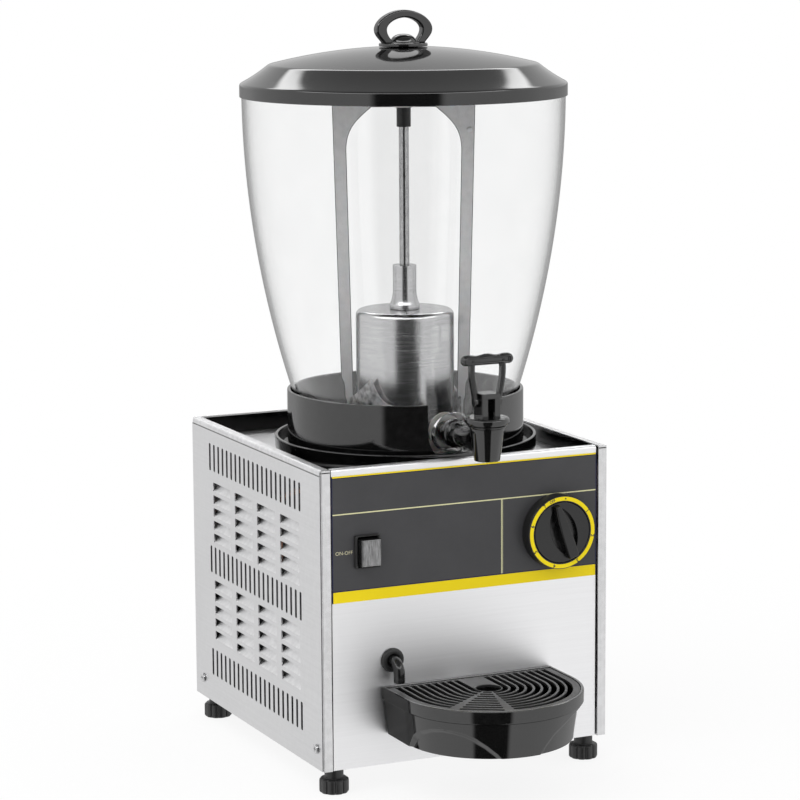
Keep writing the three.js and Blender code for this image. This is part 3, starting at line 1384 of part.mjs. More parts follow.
// The agitator frame: two legs and an arched crossbar cut from one sheet, a ring at the hub
// and a fin at each leg's foot.
function agitatorFrame() {
  const shareUp = (z) => (z - agitatorBottom) / (agitatorTop - agitatorBottom);
  const outerAt = (z) => legBottomOuter + (legTopOuter - legBottomOuter) * shareUp(z);
  const innerAt = (z) => outerAt(z) - legBottomWidth - (legTopWidth - legBottomWidth) * shareUp(z);
  const lowOuter = outerAt(legFootZ) - legStep;
  const peg = (lowOuter + innerAt(legFootZ)) / 2;
  const pegTop = legFootZ - legFillet;
  const shape = new THREE.Shape();
  shape.moveTo(0, agitatorTop);
  shape.lineTo(outerAt(agitatorTop), agitatorTop);
  shape.lineTo(outerAt(legStepZ), legStepZ);
  shape.lineTo(outerAt(legStepZ) - legStep, legStepZ - 2 * legStep);
  shape.lineTo(lowOuter, legFootZ);
  shape.quadraticCurveTo(peg + pegWidth / 2, legFootZ, peg + pegWidth / 2, pegTop);
  shape.lineTo(peg + pegWidth / 2, agitatorBottom);
  shape.lineTo(peg - pegWidth / 2, agitatorBottom);
  shape.lineTo(peg - pegWidth / 2, pegTop);
  shape.quadraticCurveTo(peg - pegWidth / 2, legFootZ, innerAt(legFootZ), legFootZ);
  shape.lineTo(innerAt(archFoot), archFoot);
  shape.quadraticCurveTo(innerAt(archFoot), (archFoot + archTop) / 2, archInner, archTop);
  shape.lineTo(0, archTop);
  const half = carried(shape, -agitatorThickness / 2, agitatorThickness / 2, archFacets);
  const other = half.mirror([1, 0, 0]);
  const hubRing = bar(hubRingRadius, archTop, hubRingRadius, agitatorTop, mediumFacets);
  const bore = bar(hubRadius + clearance, archTop - overrun, hubRadius + clearance,
    agitatorTop + overrun, mediumFacets);
  return cut(join(half, other, hubRing, fin(), fin().rotate([0, 0, 180])), bore);
}

// A fin bends round the cold cylinder from a leg's foot, its top drawn up to a point.
function fin() {
  const places = [];
  const index = [];
  for (let i = 0; i <= finSteps; i += 1) {
    const share = i / finSteps;
    const near = share < finApexShare ? share / finApexShare : (1 - share) / (1 - finApexShare);
    const top = finShoulderZ + (finApexZ - finShoulderZ) * near * near;
    const angle = Math.PI + (share * finSweep - finRoot) * degrees;
    for (const [r, z] of [[finRadius, finBottomZ], [finRadius + finSheet, finBottomZ],
      [finRadius + finSheet, top], [finRadius, top]]) {
      places.push(r * Math.cos(angle), r * Math.sin(angle), z);
    }
    if (i === 0) continue;
    const [near0, far0] = [4 * i - 4, 4 * i];
    for (let k = 0; k < 4; k += 1) {
      const next = (k + 1) % 4;
      index.push(near0 + k, near0 + next, far0 + next, near0 + k, far0 + next, far0 + k);
    }
  }
  const end = 4 * finSteps;
  index.push(0, 2, 1, 0, 3, 2, end, end + 1, end + 2, end, end + 2, end + 3);
  const geometry = new THREE.BufferGeometry();
  geometry.setAttribute('position', new THREE.Float32BufferAttribute(places, 3));
  geometry.setIndex(index);
  return solid(geometry);
}

function agitatorHub() {
  const top = shaftTop + clearance + hubCap;
  const bore = shaftRadius + clearance;
  return turned([[bore, hubBottom], [hubRadius, hubBottom], [hubRadius, top], [0, top],
    [0, shaftTop + clearance], [bore, shaftTop + clearance], [bore, hubBottom]], mediumFacets);
}

place(cabinet, 'base_pan', basePan(), galvanised);
place(cabinet, 'left_side_panel', sidePanel(), steel);
place(cabinet, 'right_side_panel', sidePanel().mirror([1, 0, 0]), steel);
place(cabinet, 'front_post_left', cornerPost(), steel);
place(cabinet, 'front_post_right', cornerPost().mirror([1, 0, 0]), steel);
place(cabinet, 'front_panel', frontPanel(), steel);
place(cabinet, 'control_label', controlLabel(), labelGrey);
place(cabinet, 'back_panel', backPanel(), galvanised);
place(cabinet, 'cable_gland', cableGland(), mattBlack);
place(cabinet, 'top_deck', topDeck(), steel);
place(cabinet, 'deck_liner', deckLiner(), glossBlack);
place(cabinet, 'bowl_seat_dish', bowlSeatDish(), glossBlack);
place(cabinet, 'bowl_collar', bowlCollar(), glossBlack);
place(cabinet, 'evaporator_shell', evaporatorShell(), coldSteel);
place(cabinet, 'evaporator_coil', evaporatorCoil(), copper);
place(cabinet, 'shaft_bearing_cone', bearingCone(), coldSteel);
place(cabinet, 'drive_shaft', driveShaft(), darkSteel);
place(cabinet, 'mixer_motor_bracket', mixerMotorBracket(), galvanised);
place(cabinet, 'mixer_motor', mixerMotor(), darkSteel);
place(cabinet, 'compressor', compressor(), enamelBlack);
place(cabinet, 'condenser', condenser(), darkSteel);
place(cabinet, 'fan_shroud', fanShroud(), mattBlack);
place(cabinet, 'fan_motor', fanMotor(), enamelBlack);
place(cabinet, 'fan_blades', fanBlades().rotate([90, 0, 0]), mattBlack, condenserX, fanBack, fanZ);
place(cabinet, 'filter_drier', filterDrier(), copper);
place(cabinet, 'discharge_line', dischargeLine(), copper);
place(cabinet, 'suction_line', suctionLine(), copper);
place(cabinet, 'capillary_line', capillaryLine(), copper);
place(cabinet, 'thermostat', thermostat(), galvanised);
place(cabinet, 'dial_bezel', dialBezel(), mattBlack);
place(cabinet, 'thermostat_knob', thermostatKnob().rotate([90, 0, 0]), mattBlack, dialX,
  labelFront - clearance - dialBase - clearance, dialZ);
place(cabinet, 'switch_housing', switchHousing(), mattBlack);
place(cabinet, 'switch_rocker', rocker(), smoked, switchX,
  labelFront - clearance - bezelDepth + rockerPivotIn, switchZ);
place(cabinet, 'drain_grommet', drainGrommet(), rubber);
place(cabinet, 'drain_elbow', drainElbow(), mattBlack);
place(cabinet, 'tray_bracket', trayBracket(), galvanised);
place(cabinet, 'drip_tray', dripTray(), glossBlack);
place(cabinet, 'drip_grate', dripGrate(), mattBlack);

for (const [corner, [x, y]] of Object.entries(footPlaces())) {
  place(cabinet, `foot_${corner}`, screwFoot(), mattBlack, x, y);
}
for (const [side, y] of sideScrewPlaces()) {
  const name = `side_screw_${side < 0 ? 'left' : 'right'}_${y > cabinetDepth / 2 ? 'rear' : 'front'}`;
  place(cabinet, name, sideScrew().rotate([0, 90 * side, 0]), steel,
    side * (halfWidth + clearance), y, sideScrewZ);
}

place(bowlGroup, 'bowl', bowl(), clearPlastic);
place(bowlGroup, 'bowl_gasket', bowlGasket(), silicone);
place(tap, 'tap_body', tapBody(), glossBlack);
place(tap, 'tap_washer', tapWasher(), silicone);
place(tap, 'tap_locknut', tapLocknut(), mattBlack);
place(tap, 'tap_bonnet', tapBonnet(), glossBlack);
place(tap, 'tap_stem', tapStem(), darkSteel);
place(tap, 'tap_seat_cup', tapSeatCup(), silicone);
place(tap, 'tap_handle', tapHandle(), glossBlack, 0, 0,
  spoutTop + clearance + bonnetHeight + blockHeight - leverPivotDrop);
place(bowlGroup, 'lid', lid(), glossBlack);
place(bowlGroup, 'lid_handle', lidHandle(), glossBlack);
place(bowlGroup, 'lid_handle_screw', lidScrew(), darkSteel);
place(agitator, 'agitator_frame', agitatorFrame(), frosted);
place(agitator, 'agitator_hub', agitatorHub(), darkSteel);

// The origin lies under the middle of everything from the tray's front to the gland's end.
const frontmost = trayBackY - trayStraight - trayHalfWidth;
const rearmost = cabinetDepth + clearance + glandLength;
cabinet.position.set(0, -(frontmost + rearmost) / 2, 0);

export default dispenser;
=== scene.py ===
import bmesh
import bpy
import math
import numpy as np
from mathutils import Matrix, Vector


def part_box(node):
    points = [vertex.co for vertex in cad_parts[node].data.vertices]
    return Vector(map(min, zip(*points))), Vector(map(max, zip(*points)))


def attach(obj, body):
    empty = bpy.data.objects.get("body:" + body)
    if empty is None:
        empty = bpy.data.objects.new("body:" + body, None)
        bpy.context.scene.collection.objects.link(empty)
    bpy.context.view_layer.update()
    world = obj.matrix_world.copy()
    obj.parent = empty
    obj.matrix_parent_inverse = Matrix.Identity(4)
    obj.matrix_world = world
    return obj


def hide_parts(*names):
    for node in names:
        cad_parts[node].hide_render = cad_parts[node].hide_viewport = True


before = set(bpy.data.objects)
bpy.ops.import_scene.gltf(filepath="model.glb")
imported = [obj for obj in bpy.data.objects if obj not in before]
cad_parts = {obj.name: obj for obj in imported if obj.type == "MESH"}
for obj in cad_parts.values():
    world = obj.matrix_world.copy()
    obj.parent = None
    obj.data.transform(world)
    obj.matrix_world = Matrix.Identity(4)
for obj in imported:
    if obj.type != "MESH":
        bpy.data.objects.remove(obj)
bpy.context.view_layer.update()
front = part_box("front_post_left")[0].y
scene = bpy.context.scene
tau = 2 * math.pi
print("frame loaded")


# Cabinet millimetres (y = 0 at the posts' face) as metres in the frame.
def inFrame(points):
    places = np.array(points, float) / 1000
    places[:, 1] += front
    return places


# A node with its settings, and its inputs given as values or as sockets to link.
def node(tree, kind, inputs=None, **settings):
    made = tree.nodes.new(kind)
    for key, value in settings.items():
        setattr(made, key, value)
    for key, value in (inputs or {}).items():
        if isinstance(value, bpy.types.NodeSocket):
            tree.links.new(value, made.inputs[key])
        else:
            made.inputs[key].default_value = value
    return made


# A value worked out from one or two others.
def worked(tree, operation, first, second=0.0, third=0.0):
    return node(tree, "ShaderNodeMath", {0: first, 1: second, 2: third}, operation=operation).outputs[0]


# A value moved from one range to another, held at the ends.
def ranged(tree, value, low, high, start=0.0, end=1.0):
    return node(tree, "ShaderNodeMapRange", {0: value, 1: start, 2: end, 3: low, 4: high}).outputs[0]


# One colour turning into another as a mask goes from nought to one.
def mixed(tree, mask, first, second):
    made = node(tree, "ShaderNodeMix", {"Factor": mask}, data_type="RGBA")
    for socket, value in ((made.inputs[6], first), (made.inputs[7], second)):
        if isinstance(value, bpy.types.NodeSocket):
            tree.links.new(value, socket)
        else:
            socket.default_value = (*value, 1)
    return made.outputs[2]


# An empty group with its sockets, and its input and output nodes.
def emptyGroup(name, inputs, outputs):
    group = bpy.data.node_groups.new(name, "ShaderNodeTree")
    for label, kind in inputs:
        group.interface.new_socket(name=label, in_out="INPUT", socket_type=kind)
    for label in outputs:
        group.interface.new_socket(name=label, in_out="OUTPUT", socket_type="NodeSocketFloat")
    return group, group.nodes.new("NodeGroupInput"), group.nodes.new("NodeGroupOutput")


# Stretched noise in two sizes: broad tone and fine lines.
def streakGroup():
    group, given, made = emptyGroup("streaks", [("Scale", "NodeSocketVector")], ["Tone", "Fine"])
    place = node(group, "ShaderNodeTexCoord").outputs["Object"]
    spread = node(group, "ShaderNodeMapping", {"Vector": place, "Scale": given.outputs["Scale"]}).outputs[0]
    broad = node(group, "ShaderNodeTexNoise", {"Vector": spread, "Scale": 1.0, "Detail": 5.0, "Roughness": 0.7})
    fine = node(group, "ShaderNodeTexNoise", {"Vector": spread, "Scale": 6.0, "Detail": 3.0, "Roughness": 0.6})
    blotch = node(group, "ShaderNodeTexNoise", {"Vector": place, "Scale": 9.0, "Detail": 2.0})
    tone = worked(group, "MULTIPLY_ADD", blotch.outputs[0], 0.35, worked(group, "MULTIPLY", broad.outputs[0], 0.65))
    group.links.new(ranged(group, tone, 0.0, 1.0, 0.3, 0.7), made.inputs["Tone"])
    group.links.new(fine.outputs[0], made.inputs["Fine"])
    return group


# Moulded plastic or paint: slow change of tone, a fine skin and scattered specks.
def grainGroup():
    group, given, made = emptyGroup("grain", [("Scale", "NodeSocketVector")], ["Tone", "Fine"])
    place = node(group, "ShaderNodeTexCoord").outputs["Object"]
    spread = node(group, "ShaderNodeMapping", {"Vector": place, "Scale": given.outputs["Scale"]}).outputs[0]
    slow = node(group, "ShaderNodeTexNoise", {"Vector": place, "Scale": 22.0, "Detail": 6.0, "Roughness": 0.62})
    fine = node(group, "ShaderNodeTexNoise", {"Vector": spread, "Scale": 1.0, "Detail": 3.0, "Roughness": 0.5})
    speck = node(group, "ShaderNodeTexVoronoi", {"Vector": spread, "Scale": 0.35, "Randomness": 1.0})
    dots = ranged(group, speck.outputs["Distance"], 1.0, 0.0, 0.0, 0.12)
    tone = ranged(group, slow.outputs[0], 0.0, 1.0, 0.32, 0.7)
    group.links.new(worked(group, "MAXIMUM", tone, worked(group, "MULTIPLY", dots, 0.8)), made.inputs["Tone"])
    group.links.new(fine.outputs[0], made.inputs["Fine"])
    return group


# Zinc flowers: flat crystals of different greys.
def spangleGroup():
    group, given, made = emptyGroup("spangle", [("Scale", "NodeSocketVector")], ["Tone", "Fine"])
    place = node(group, "ShaderNodeTexCoord").outputs["Object"]
    spread = node(group, "ShaderNodeMapping", {"Vector": place, "Scale": given.outputs["Scale"]}).outputs[0]
    cell = node(group, "ShaderNodeTexVoronoi", {"Vector": spread, "Scale": 1.0, "Randomness": 1.0})
    crystal = node(group, "ShaderNodeSeparateColor", {"Color": cell.outputs["Color"]}).outputs[0]
    feather = node(group, "ShaderNodeTexNoise", {"Vector": spread, "Scale": 3.0, "Detail": 6.0, "Roughness": 0.7})
    tone = worked(group, "MULTIPLY_ADD", feather.outputs[0], 0.45, worked(group, "MULTIPLY", crystal, 0.55))
    group.links.new(tone, made.inputs["Tone"])
    group.links.new(feather.outputs[0], made.inputs["Fine"])
    return group


# Edge colour where the surface bends outwards, broken up by noise: worn edges on most finishes, painted shade on the
# frosted plastic.
def edgeWearAndShadeGroup():
    group, given, made = emptyGroup("edgeWearAndShade", [("Reach", "NodeSocketFloat")], ["Mask"])
    bend = node(group, "ShaderNodeNewGeometry").outputs["Pointiness"]
    place = node(group, "ShaderNodeTexCoord").outputs["Object"]
    rough = node(group, "ShaderNodeTexNoise", {"Vector": place, "Scale": 160.0, "Detail": 4.0}).outputs[0]
    edge = ranged(group, bend, 0.0, 1.0, 0.51, 0.6)
    mask = worked(group, "MULTIPLY", edge, ranged(group, rough, 0.0, 1.0, 0.4, 0.65))
    group.links.new(worked(group, "MULTIPLY", mask, given.outputs["Reach"]), made.inputs["Mask"])
    return group


groups = {"streaks": streakGroup(), "grain": grainGroup(), "spangle": spangleGroup(), "wearAndShade": edgeWearAndShadeGroup()}


# A material on one pattern: two colours, a range of roughness, a bump and an edge colour, which is wear on most
# finishes and painted shade on the frosted plastic.
def surface(name, pattern, scale, colours, rough, bump, wearAndShade=None, **sockets):
    material = bpy.data.materials.new(name)
    material.use_nodes = True
    tree = material.node_tree
    shader = tree.nodes["Principled BSDF"]
    for key, value in sockets.items():
        shader.inputs[key.replace("_", " ")].default_value = value
    made = node(tree, "ShaderNodeGroup", node_tree=groups[pattern])
    made.inputs["Scale"].default_value = scale
    colour = mixed(tree, made.outputs["Tone"], *colours)
    if wearAndShade:
        edgeTint = node(tree, "ShaderNodeGroup", node_tree=groups["wearAndShade"])
        edgeTint.inputs["Reach"].default_value = wearAndShade[1]
        colour = mixed(tree, edgeTint.outputs["Mask"], colour, wearAndShade[0])
    tree.links.new(colour, shader.inputs["Base Color"])
    tree.links.new(ranged(tree, made.outputs["Tone"], *rough), shader.inputs["Roughness"])
    relief = node(tree, "ShaderNodeBump", {"Height": made.outputs["Fine"], "Strength": bump[0],
                                           "Distance": bump[1]})
    tree.links.new(relief.outputs[0], shader.inputs["Normal"])
    return material


def grey(level):
    return (level, level, level * 1.01)


# Painted light: one brushed steel in lit and shaded copies. The front panel gets a brighter base colour, and the
# sides, corner posts, screws and deck get darker ones, by how light falls on each face.
steelSideShaded = surface("steelSideShaded", "streaks", (0.0, 5.0, 420.0), (grey(0.66), grey(0.76)), (0.30, 0.42),
                    (0.12, 0.0001), (grey(0.9), 0.5), Metallic=1.0)
steelFrontLit = surface("steelFrontLit", "streaks", (5.0, 0.0, 420.0), (grey(0.86), grey(0.95)), (0.37, 0.49),
                     (0.12, 0.0001), (grey(0.9), 0.5), Metallic=1.0)
steelPostShaded = surface("steelPostShaded", "streaks", (420.0, 420.0, 5.0), (grey(0.58), grey(0.70)), (0.22, 0.34),
                    (0.10, 0.0001), (grey(0.9), 0.5), Metallic=1.0)
steelDeckShaded = surface("steelDeckShaded", "streaks", (420.0, 5.0, 0.0), (grey(0.62), grey(0.74)), (0.3, 0.42),
                    (0.1, 0.0001), Metallic=1.0)
coldSteel = surface("coldSteel", "streaks", (30.0, 30.0, 700.0), (grey(0.52), grey(0.66)), (0.16, 0.30),
                    (0.08, 0.0001), (grey(0.8), 0.4), Metallic=1.0)
darkSteel = surface("darkSteel", "streaks", (200.0, 200.0, 12.0), (grey(0.34), grey(0.48)), (0.14, 0.24),
                    (0.03, 0.0001), (grey(0.7), 0.4), Metallic=1.0)
galvanised = surface("galvanised", "spangle", (90.0, 90.0, 90.0), (grey(0.46), grey(0.7)), (0.34, 0.52),
                     (0.08, 0.0002), (grey(0.8), 0.5), Metallic=1.0)
glossBlack = surface("glossBlack", "grain", (500.0, 500.0, 500.0), (grey(0.001), grey(0.004)), (0.05, 0.1),
                     (0.015, 0.0001), (grey(0.03), 0.3), IOR=1.72)
mattBlack = surface("mattBlack", "grain", (2600.0, 2600.0, 2600.0), (grey(0.012), grey(0.02)), (0.34, 0.5),
                    (0.08, 0.0001), (grey(0.07), 0.5))
# Painted shade: a near-black finish for the plate hidden in the agitator's sheet, whose edges show as dark outlines.
paintedEdgeShade = surface("paintedEdgeShade", "grain", (900.0, 900.0, 900.0), (grey(0.05), grey(0.09)), (0.3, 0.42),
                    (0.04, 0.0001))
satinBlack = surface("satinBlack", "grain", (1800.0, 1800.0, 1800.0), (grey(0.004), grey(0.009)), (0.16, 0.26),
                     (0.04, 0.0001), (grey(0.05), 0.4))
enamelBlack = surface("enamelBlack", "grain", (700.0, 700.0, 700.0), (grey(0.02), grey(0.035)), (0.2, 0.34),
                      (0.06, 0.0001), (grey(0.2), 0.6), Coat_Weight=0.3, Coat_Roughness=0.12)
# Painted shade: the frosted plastic's edge colour, grey(0.06) at full reach, darkens its bevelled edges into dark
# outlines in place of the edges' refraction.
frosted = surface("frosted", "grain", (900.0, 900.0, 900.0), (grey(0.70), grey(0.76)), (0.3, 0.42),
                  (0.04, 0.0001), (grey(0.06), 1.0), Subsurface_Weight=0.1, Subsurface_Scale=0.004)
silicone = surface("silicone", "grain", (1200.0, 1200.0, 1200.0), ((0.74, 0.73, 0.69), (0.82, 0.81, 0.78)),
                   (0.45, 0.6), (0.08, 0.0001), Subsurface_Weight=0.15, Subsurface_Scale=0.003)
rubber = surface("rubber", "grain", (2000.0, 2000.0, 2000.0), (grey(0.012), grey(0.022)), (0.45, 0.62),
                 (0.12, 0.0001), (grey(0.05), 0.4))
copper = surface("copper", "streaks", (160.0, 160.0, 160.0), ((0.72, 0.34, 0.2), (0.9, 0.5, 0.34)),
                 (0.2, 0.4), (0.06, 0.0001), ((0.95, 0.62, 0.46), 0.5), Metallic=1.0)
ink = surface("ink", "grain", (3000.0, 3000.0, 3000.0), ((0.72, 0.68, 0.42), (0.80, 0.76, 0.52)), (0.4, 0.55),
              (0.04, 0.0001))
inkDark = surface("inkDark", "grain", (3000.0, 3000.0, 3000.0), ((0.003, 0.004, 0.02), (0.006, 0.008, 0.03)),
                  (0.35, 0.5), (0.04, 0.0001))
yellowRing = surface("yellowRing", "grain", (2200.0, 2200.0, 2200.0), ((0.88, 0.69, 0.001), (0.94, 0.75, 0.002)),
                     (0.3, 0.42), (0.05, 0.0001), Specular_IOR_Level=0.25)


# Clear polycarbonate: faint flow marks in its tint, roughness and skin.
clear = surface("clear", "grain", (60.0, 60.0, 8.0), ((0.94, 0.943, 0.943), (0.965, 0.966, 0.966)), (0.0, 0.03),
                (0.01, 0.0002), IOR=1.42, Transmission_Weight=1.0)
lens = surface("lens", "streaks", (620.0, 50.0, 90.0), (grey(0.07), grey(0.52)), (0.12, 0.26), (0.08, 0.0001),
               Transmission_Weight=0.25, IOR=1.49)


# Painted shade: the lens's colour is darkened behind its front face and round that face's edge.
def paintSideShade(material, deep, middle, half):
    tree = material.node_tree
    colour = tree.nodes["Principled BSDF"].inputs["Base Color"]
    place = node(tree, "ShaderNodeSeparateXYZ", {0: node(tree, "ShaderNodeTexCoord").outputs["Object"]})
    aside = worked(tree, "ABSOLUTE", worked(tree, "SUBTRACT", place.outputs[0], middle / 1000))
    behind = ranged(tree, place.outputs[1], 0.0, 1.0, front + deep / 1000, front + (deep + 0.7) / 1000)
    edge = ranged(tree, aside, 0.0, 0.7, (half - 1.2) / 1000, (half - 0.6) / 1000)
    mask = worked(tree, "MAXIMUM", behind, edge)
    tree.links.new(mixed(tree, mask, colour.links[0].from_socket, grey(0.012)), colour)


# Painted shade on the rocker lens's sides and round its face's edge.
paintSideShade(lens, -10.6, -103.8, 9.95)

# The label: dark grey film with yellow and blue lines across it and one double line down it.
labelLook = {
    "film": (0.052, 0.052, 0.055), "filmLight": (0.062, 0.062, 0.065), "yellow": (0.90, 0.70, 0.001),
    "pale": (0.74, 0.72, 0.42), "blue": (0.006, 0.008, 0.045),
    "across": [(302.9, 304.3, "yellow"), (302.1, 302.8, "blue"), (267.7, 268.8, "pale"),
               (184.3, 194.9, "yellow"), (195.1, 195.9, "blue")],
    "down": [(36.4, 37.1), (37.7, 38.2)], "downRange": (196.0, 267.7), "side": 137.9,
}


def labelMaterial():
    look = labelLook
    material = surface("label", "grain", (2600.0, 2600.0, 2600.0), (look["film"], look["filmLight"]),
                       (0.3, 0.42), (0.05, 0.0001), Specular_IOR_Level=0.25)
    tree = material.node_tree
    shader = tree.nodes["Principled BSDF"]
    colour = shader.inputs["Base Color"].links[0].from_socket
    place = node(tree, "ShaderNodeSeparateXYZ", {0: node(tree, "ShaderNodeTexCoord").outputs["Object"]})
    x, z = place.outputs[0], place.outputs[2]

    def band(value, low, high):
        return worked(tree, "COMPARE", value, (low + high) / 2000, (high - low) / 2000)

    for low, high, tint in look["across"]:
        colour = mixed(tree, band(z, low, high), colour, look[tint])
    tall = band(z, *look["downRange"])
    for low, high in look["down"]:
        colour = mixed(tree, worked(tree, "MULTIPLY", tall, band(x, low, high)), colour, look["pale"])
    inside = worked(tree, "LESS_THAN", worked(tree, "ABSOLUTE", x), look["side"] / 1000)
    colour = mixed(tree, inside, look["blue"], colour)
    tree.links.new(colour, shader.inputs["Base Color"])
    return material


label = labelMaterial()
print("materials made")


# Quads over a grid of rows and columns, joined round where asked.
def gridFaces(rows, columns, roundRows=False, roundColumns=True):
    down = np.arange(rows if roundRows else rows - 1)[:, None]
    along = np.arange(columns if roundColumns else columns - 1)[None, :]
    nextDown, nextAlong = (down + 1) % rows, (along + 1) % columns
    corners = [down * columns + along, down * columns + nextAlong,
               nextDown * columns + nextAlong, nextDown * columns + along]
    return np.stack(corners, axis=-1).reshape(-1, 4).tolist()


# Several shapes as one.
def together(*shapes):
    points, faces, count = [], [], 0
    for places, sides in shapes:
        points.append(np.asarray(places, float))
        faces += [[index + count for index in side] for side in sides]
        count += len(places)
    return np.vstack(points), faces


# The shape moved by a step.
def moved(shape, x=0.0, y=0.0, z=0.0):
    return np.asarray(shape[0], float) + (x, y, z), shape[1]


# A line with each corner rounded by a parabola that starts one radius from it.
def rounded(corners, radius, steps=4, closed=True):
    points = np.asarray(corners, float)
    radii = np.broadcast_to(np.asarray(radius, float), len(points))
    share = np.linspace(0, 1, steps + 1)[:, None]
    line = []
    for i, here in enumerate(points):
        if (not closed and i in (0, len(points) - 1)) or radii[i] <= 0:
            line.append(here[None])
            continue
        back, ahead = points[i - 1] - here, points[(i + 1) % len(points)] - here
        reach = min(radii[i], 0.48 * np.linalg.norm(back), 0.48 * np.linalg.norm(ahead))
        start = here + back / np.linalg.norm(back) * reach
        end = here + ahead / np.linalg.norm(ahead) * reach
        line.append((1 - share) ** 2 * start + 2 * share * (1 - share) * here + share ** 2 * end)
    return np.vstack(line)


# A closed profile (radius, height) turned about an upright axis.
def turned(profile, x=0.0, y=0.0, segments=96):
    line = np.asarray(profile, float)
    angle = np.linspace(0, tau, segments, endpoint=False)
    places = np.stack([x + line[:, :1] * np.cos(angle), y + line[:, :1] * np.sin(angle),
                       np.repeat(line[:, 1:], segments, axis=1)], axis=-1).reshape(-1, 3)
    return places, gridFaces(len(line), segments, True, True)


# The same about an axis that points forwards from a place; heights count towards the front.
def turnedForwards(profile, x, y, z, segments=64):
    places, faces = turned(profile, 0, 0, segments)
    return np.column_stack([x + places[:, 0], y - places[:, 2], z + places[:, 1]]), faces


# The mesh of a curve as points and faces; the curve itself is thrown away.
def curveShape(curve):
    holder = bpy.data.objects.new(curve.name, curve)
    mesh = bpy.data.meshes.new_from_object(holder)
    places = np.empty(len(mesh.vertices) * 3)
    mesh.vertices.foreach_get("co", places)
    faces = [list(side.vertices) for side in mesh.polygons]
    bpy.data.objects.remove(holder)
    bpy.data.meshes.remove(mesh)
    bpy.data.curves.remove(curve)
    return places.reshape(-1, 3), faces


# A flat outline with holes, raised by a depth, its edges rounded: plan u, v and height w about nought.
def plate(outline, holes, depth, bevel=0.3, steps=2):
    curve = bpy.data.curves.new("outline", "CURVE")
    curve.dimensions = "2D"
    curve.fill_mode = "BOTH"
    curve.extrude = depth / 2 - bevel
    curve.bevel_depth = bevel
    curve.bevel_resolution = steps
    curve.offset = -bevel
    for i, line in enumerate([outline, *holes]):
        line = np.asarray(line, float)
        ahead = np.roll(line, -1, axis=0)
        turnedLeft = (line[:, 0] * ahead[:, 1] - ahead[:, 0] * line[:, 1]).sum() > 0
        if turnedLeft == (i > 0):
            line = line[::-1]
        spline = curve.splines.new("POLY")
        spline.points.add(len(line) - 1)
        flat = np.column_stack([line, np.zeros(len(line)), np.ones(len(line))])
        spline.points.foreach_set("co", flat.ravel())
        spline.use_cyclic_u = True
    return curveShape(curve)


# A plate stood up: u along x, v up, w along y.
def upright(shape):
    places, faces = shape
    return places[:, [0, 2, 1]], faces


# A plate stood up sideways: u along y, v up, w along x.
def sideways(shape):
    places, faces = shape
    return places[:, [2, 0, 1]], faces


# Points turned about nought in their first two columns.
def spun(places, angle):
    c, s = math.cos(angle), math.sin(angle)
    return np.column_stack([places[:, 0] * c - places[:, 1] * s, places[:, 0] * s + places[:, 1] * c, places[:, 2:]])


# A closed section (inwards, up) drawn out between two ends: points (inwards, along, up).
def strip(section, start, end):
    count = len(section)
    inwards, up = np.repeat(section[None], 2, 0).transpose(2, 0, 1)
    places = np.stack([inwards, np.repeat([[start], [end]], count, 1), up], axis=-1).reshape(-1, 3)
    return places, gridFaces(2, count, False, True) + [list(range(count)), list(range(count, 2 * count))]


# A section (along the plane's normal, across the path) carried along a path in one plane.
def swept(path, section, normal):
    line, normal = np.asarray(path, float), np.asarray(normal, float)
    section = np.asarray(section, float)
    tangent = np.gradient(line, axis=0)
    tangent /= np.linalg.norm(tangent, axis=1)[:, None]
    across = np.cross(normal, tangent)
    places = line[:, None] + (section[None, :, :1] * normal + section[None, :, 1:] * across[:, None])
    rows, columns = len(line), len(section)
    faces = gridFaces(rows, columns, False, True)
    faces += [list(range(columns)), list(range((rows - 1) * columns, rows * columns))]
    return places.reshape(-1, 3), faces


def circle(radius, segments=48, x=0.0, y=0.0):
    angle = np.linspace(0, tau, segments, endpoint=False)
    return np.column_stack([x + radius * np.cos(angle), y + radius * np.sin(angle)])


def oblong(x0, x1, y0, y1, radius, steps=5):
    return rounded([(x0, y0), (x1, y0), (x1, y1), (x0, y1)], radius, steps)


# A cubic curve between two points, pulled by two others.
def bezier(a, b, c, d, steps=16):
    t = np.linspace(0, 1, steps + 1)[:, None]
    a, b, c, d = (np.asarray(point, float) for point in (a, b, c, d))
    return (1 - t) ** 3 * a + 3 * t * (1 - t) ** 2 * b + 3 * t ** 2 * (1 - t) * c + t ** 3 * d


# Words or numbers as a thin raised print: plan u, v and height w.
def lettering(words, size, thickness=0.08, slim=0.0):
    curve = bpy.data.curves.new("words", "FONT")
    curve.body = words
    curve.size = size
    curve.align_x = "CENTER"
    curve.align_y = "CENTER"
    curve.extrude = thickness / 2
    curve.offset = -slim
    return curveShape(curve)


# A finished piece of the object from a shape, riding on a body and standing for CAD nodes.
def piece(name, shape, finish, body, nodes=(), sharp=34):
    mesh = bpy.data.meshes.new(name)
    mesh.from_pydata(inFrame(shape[0]).tolist(), [], shape[1])
    tidy = bmesh.new()
    tidy.from_mesh(mesh)
    bmesh.ops.remove_doubles(tidy, verts=tidy.verts, dist=0.000004)
    bmesh.ops.dissolve_degenerate(tidy, edges=tidy.edges, dist=0.000001)
    bmesh.ops.recalc_face_normals(tidy, faces=tidy.faces)
    tidy.to_mesh(mesh)
    tidy.free()
    mesh.shade_smooth()
    mesh.set_sharp_from_angle(angle=math.radians(sharp))
    mesh.materials.append(finish)
    made = bpy.data.objects.new(name, mesh)
    scene.collection.objects.link(made)
    made.modifiers.new("flatFaces", "WEIGHTED_NORMAL").keep_sharp = True
    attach(made, body)
    if nodes:
        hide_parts(*nodes)
    return made


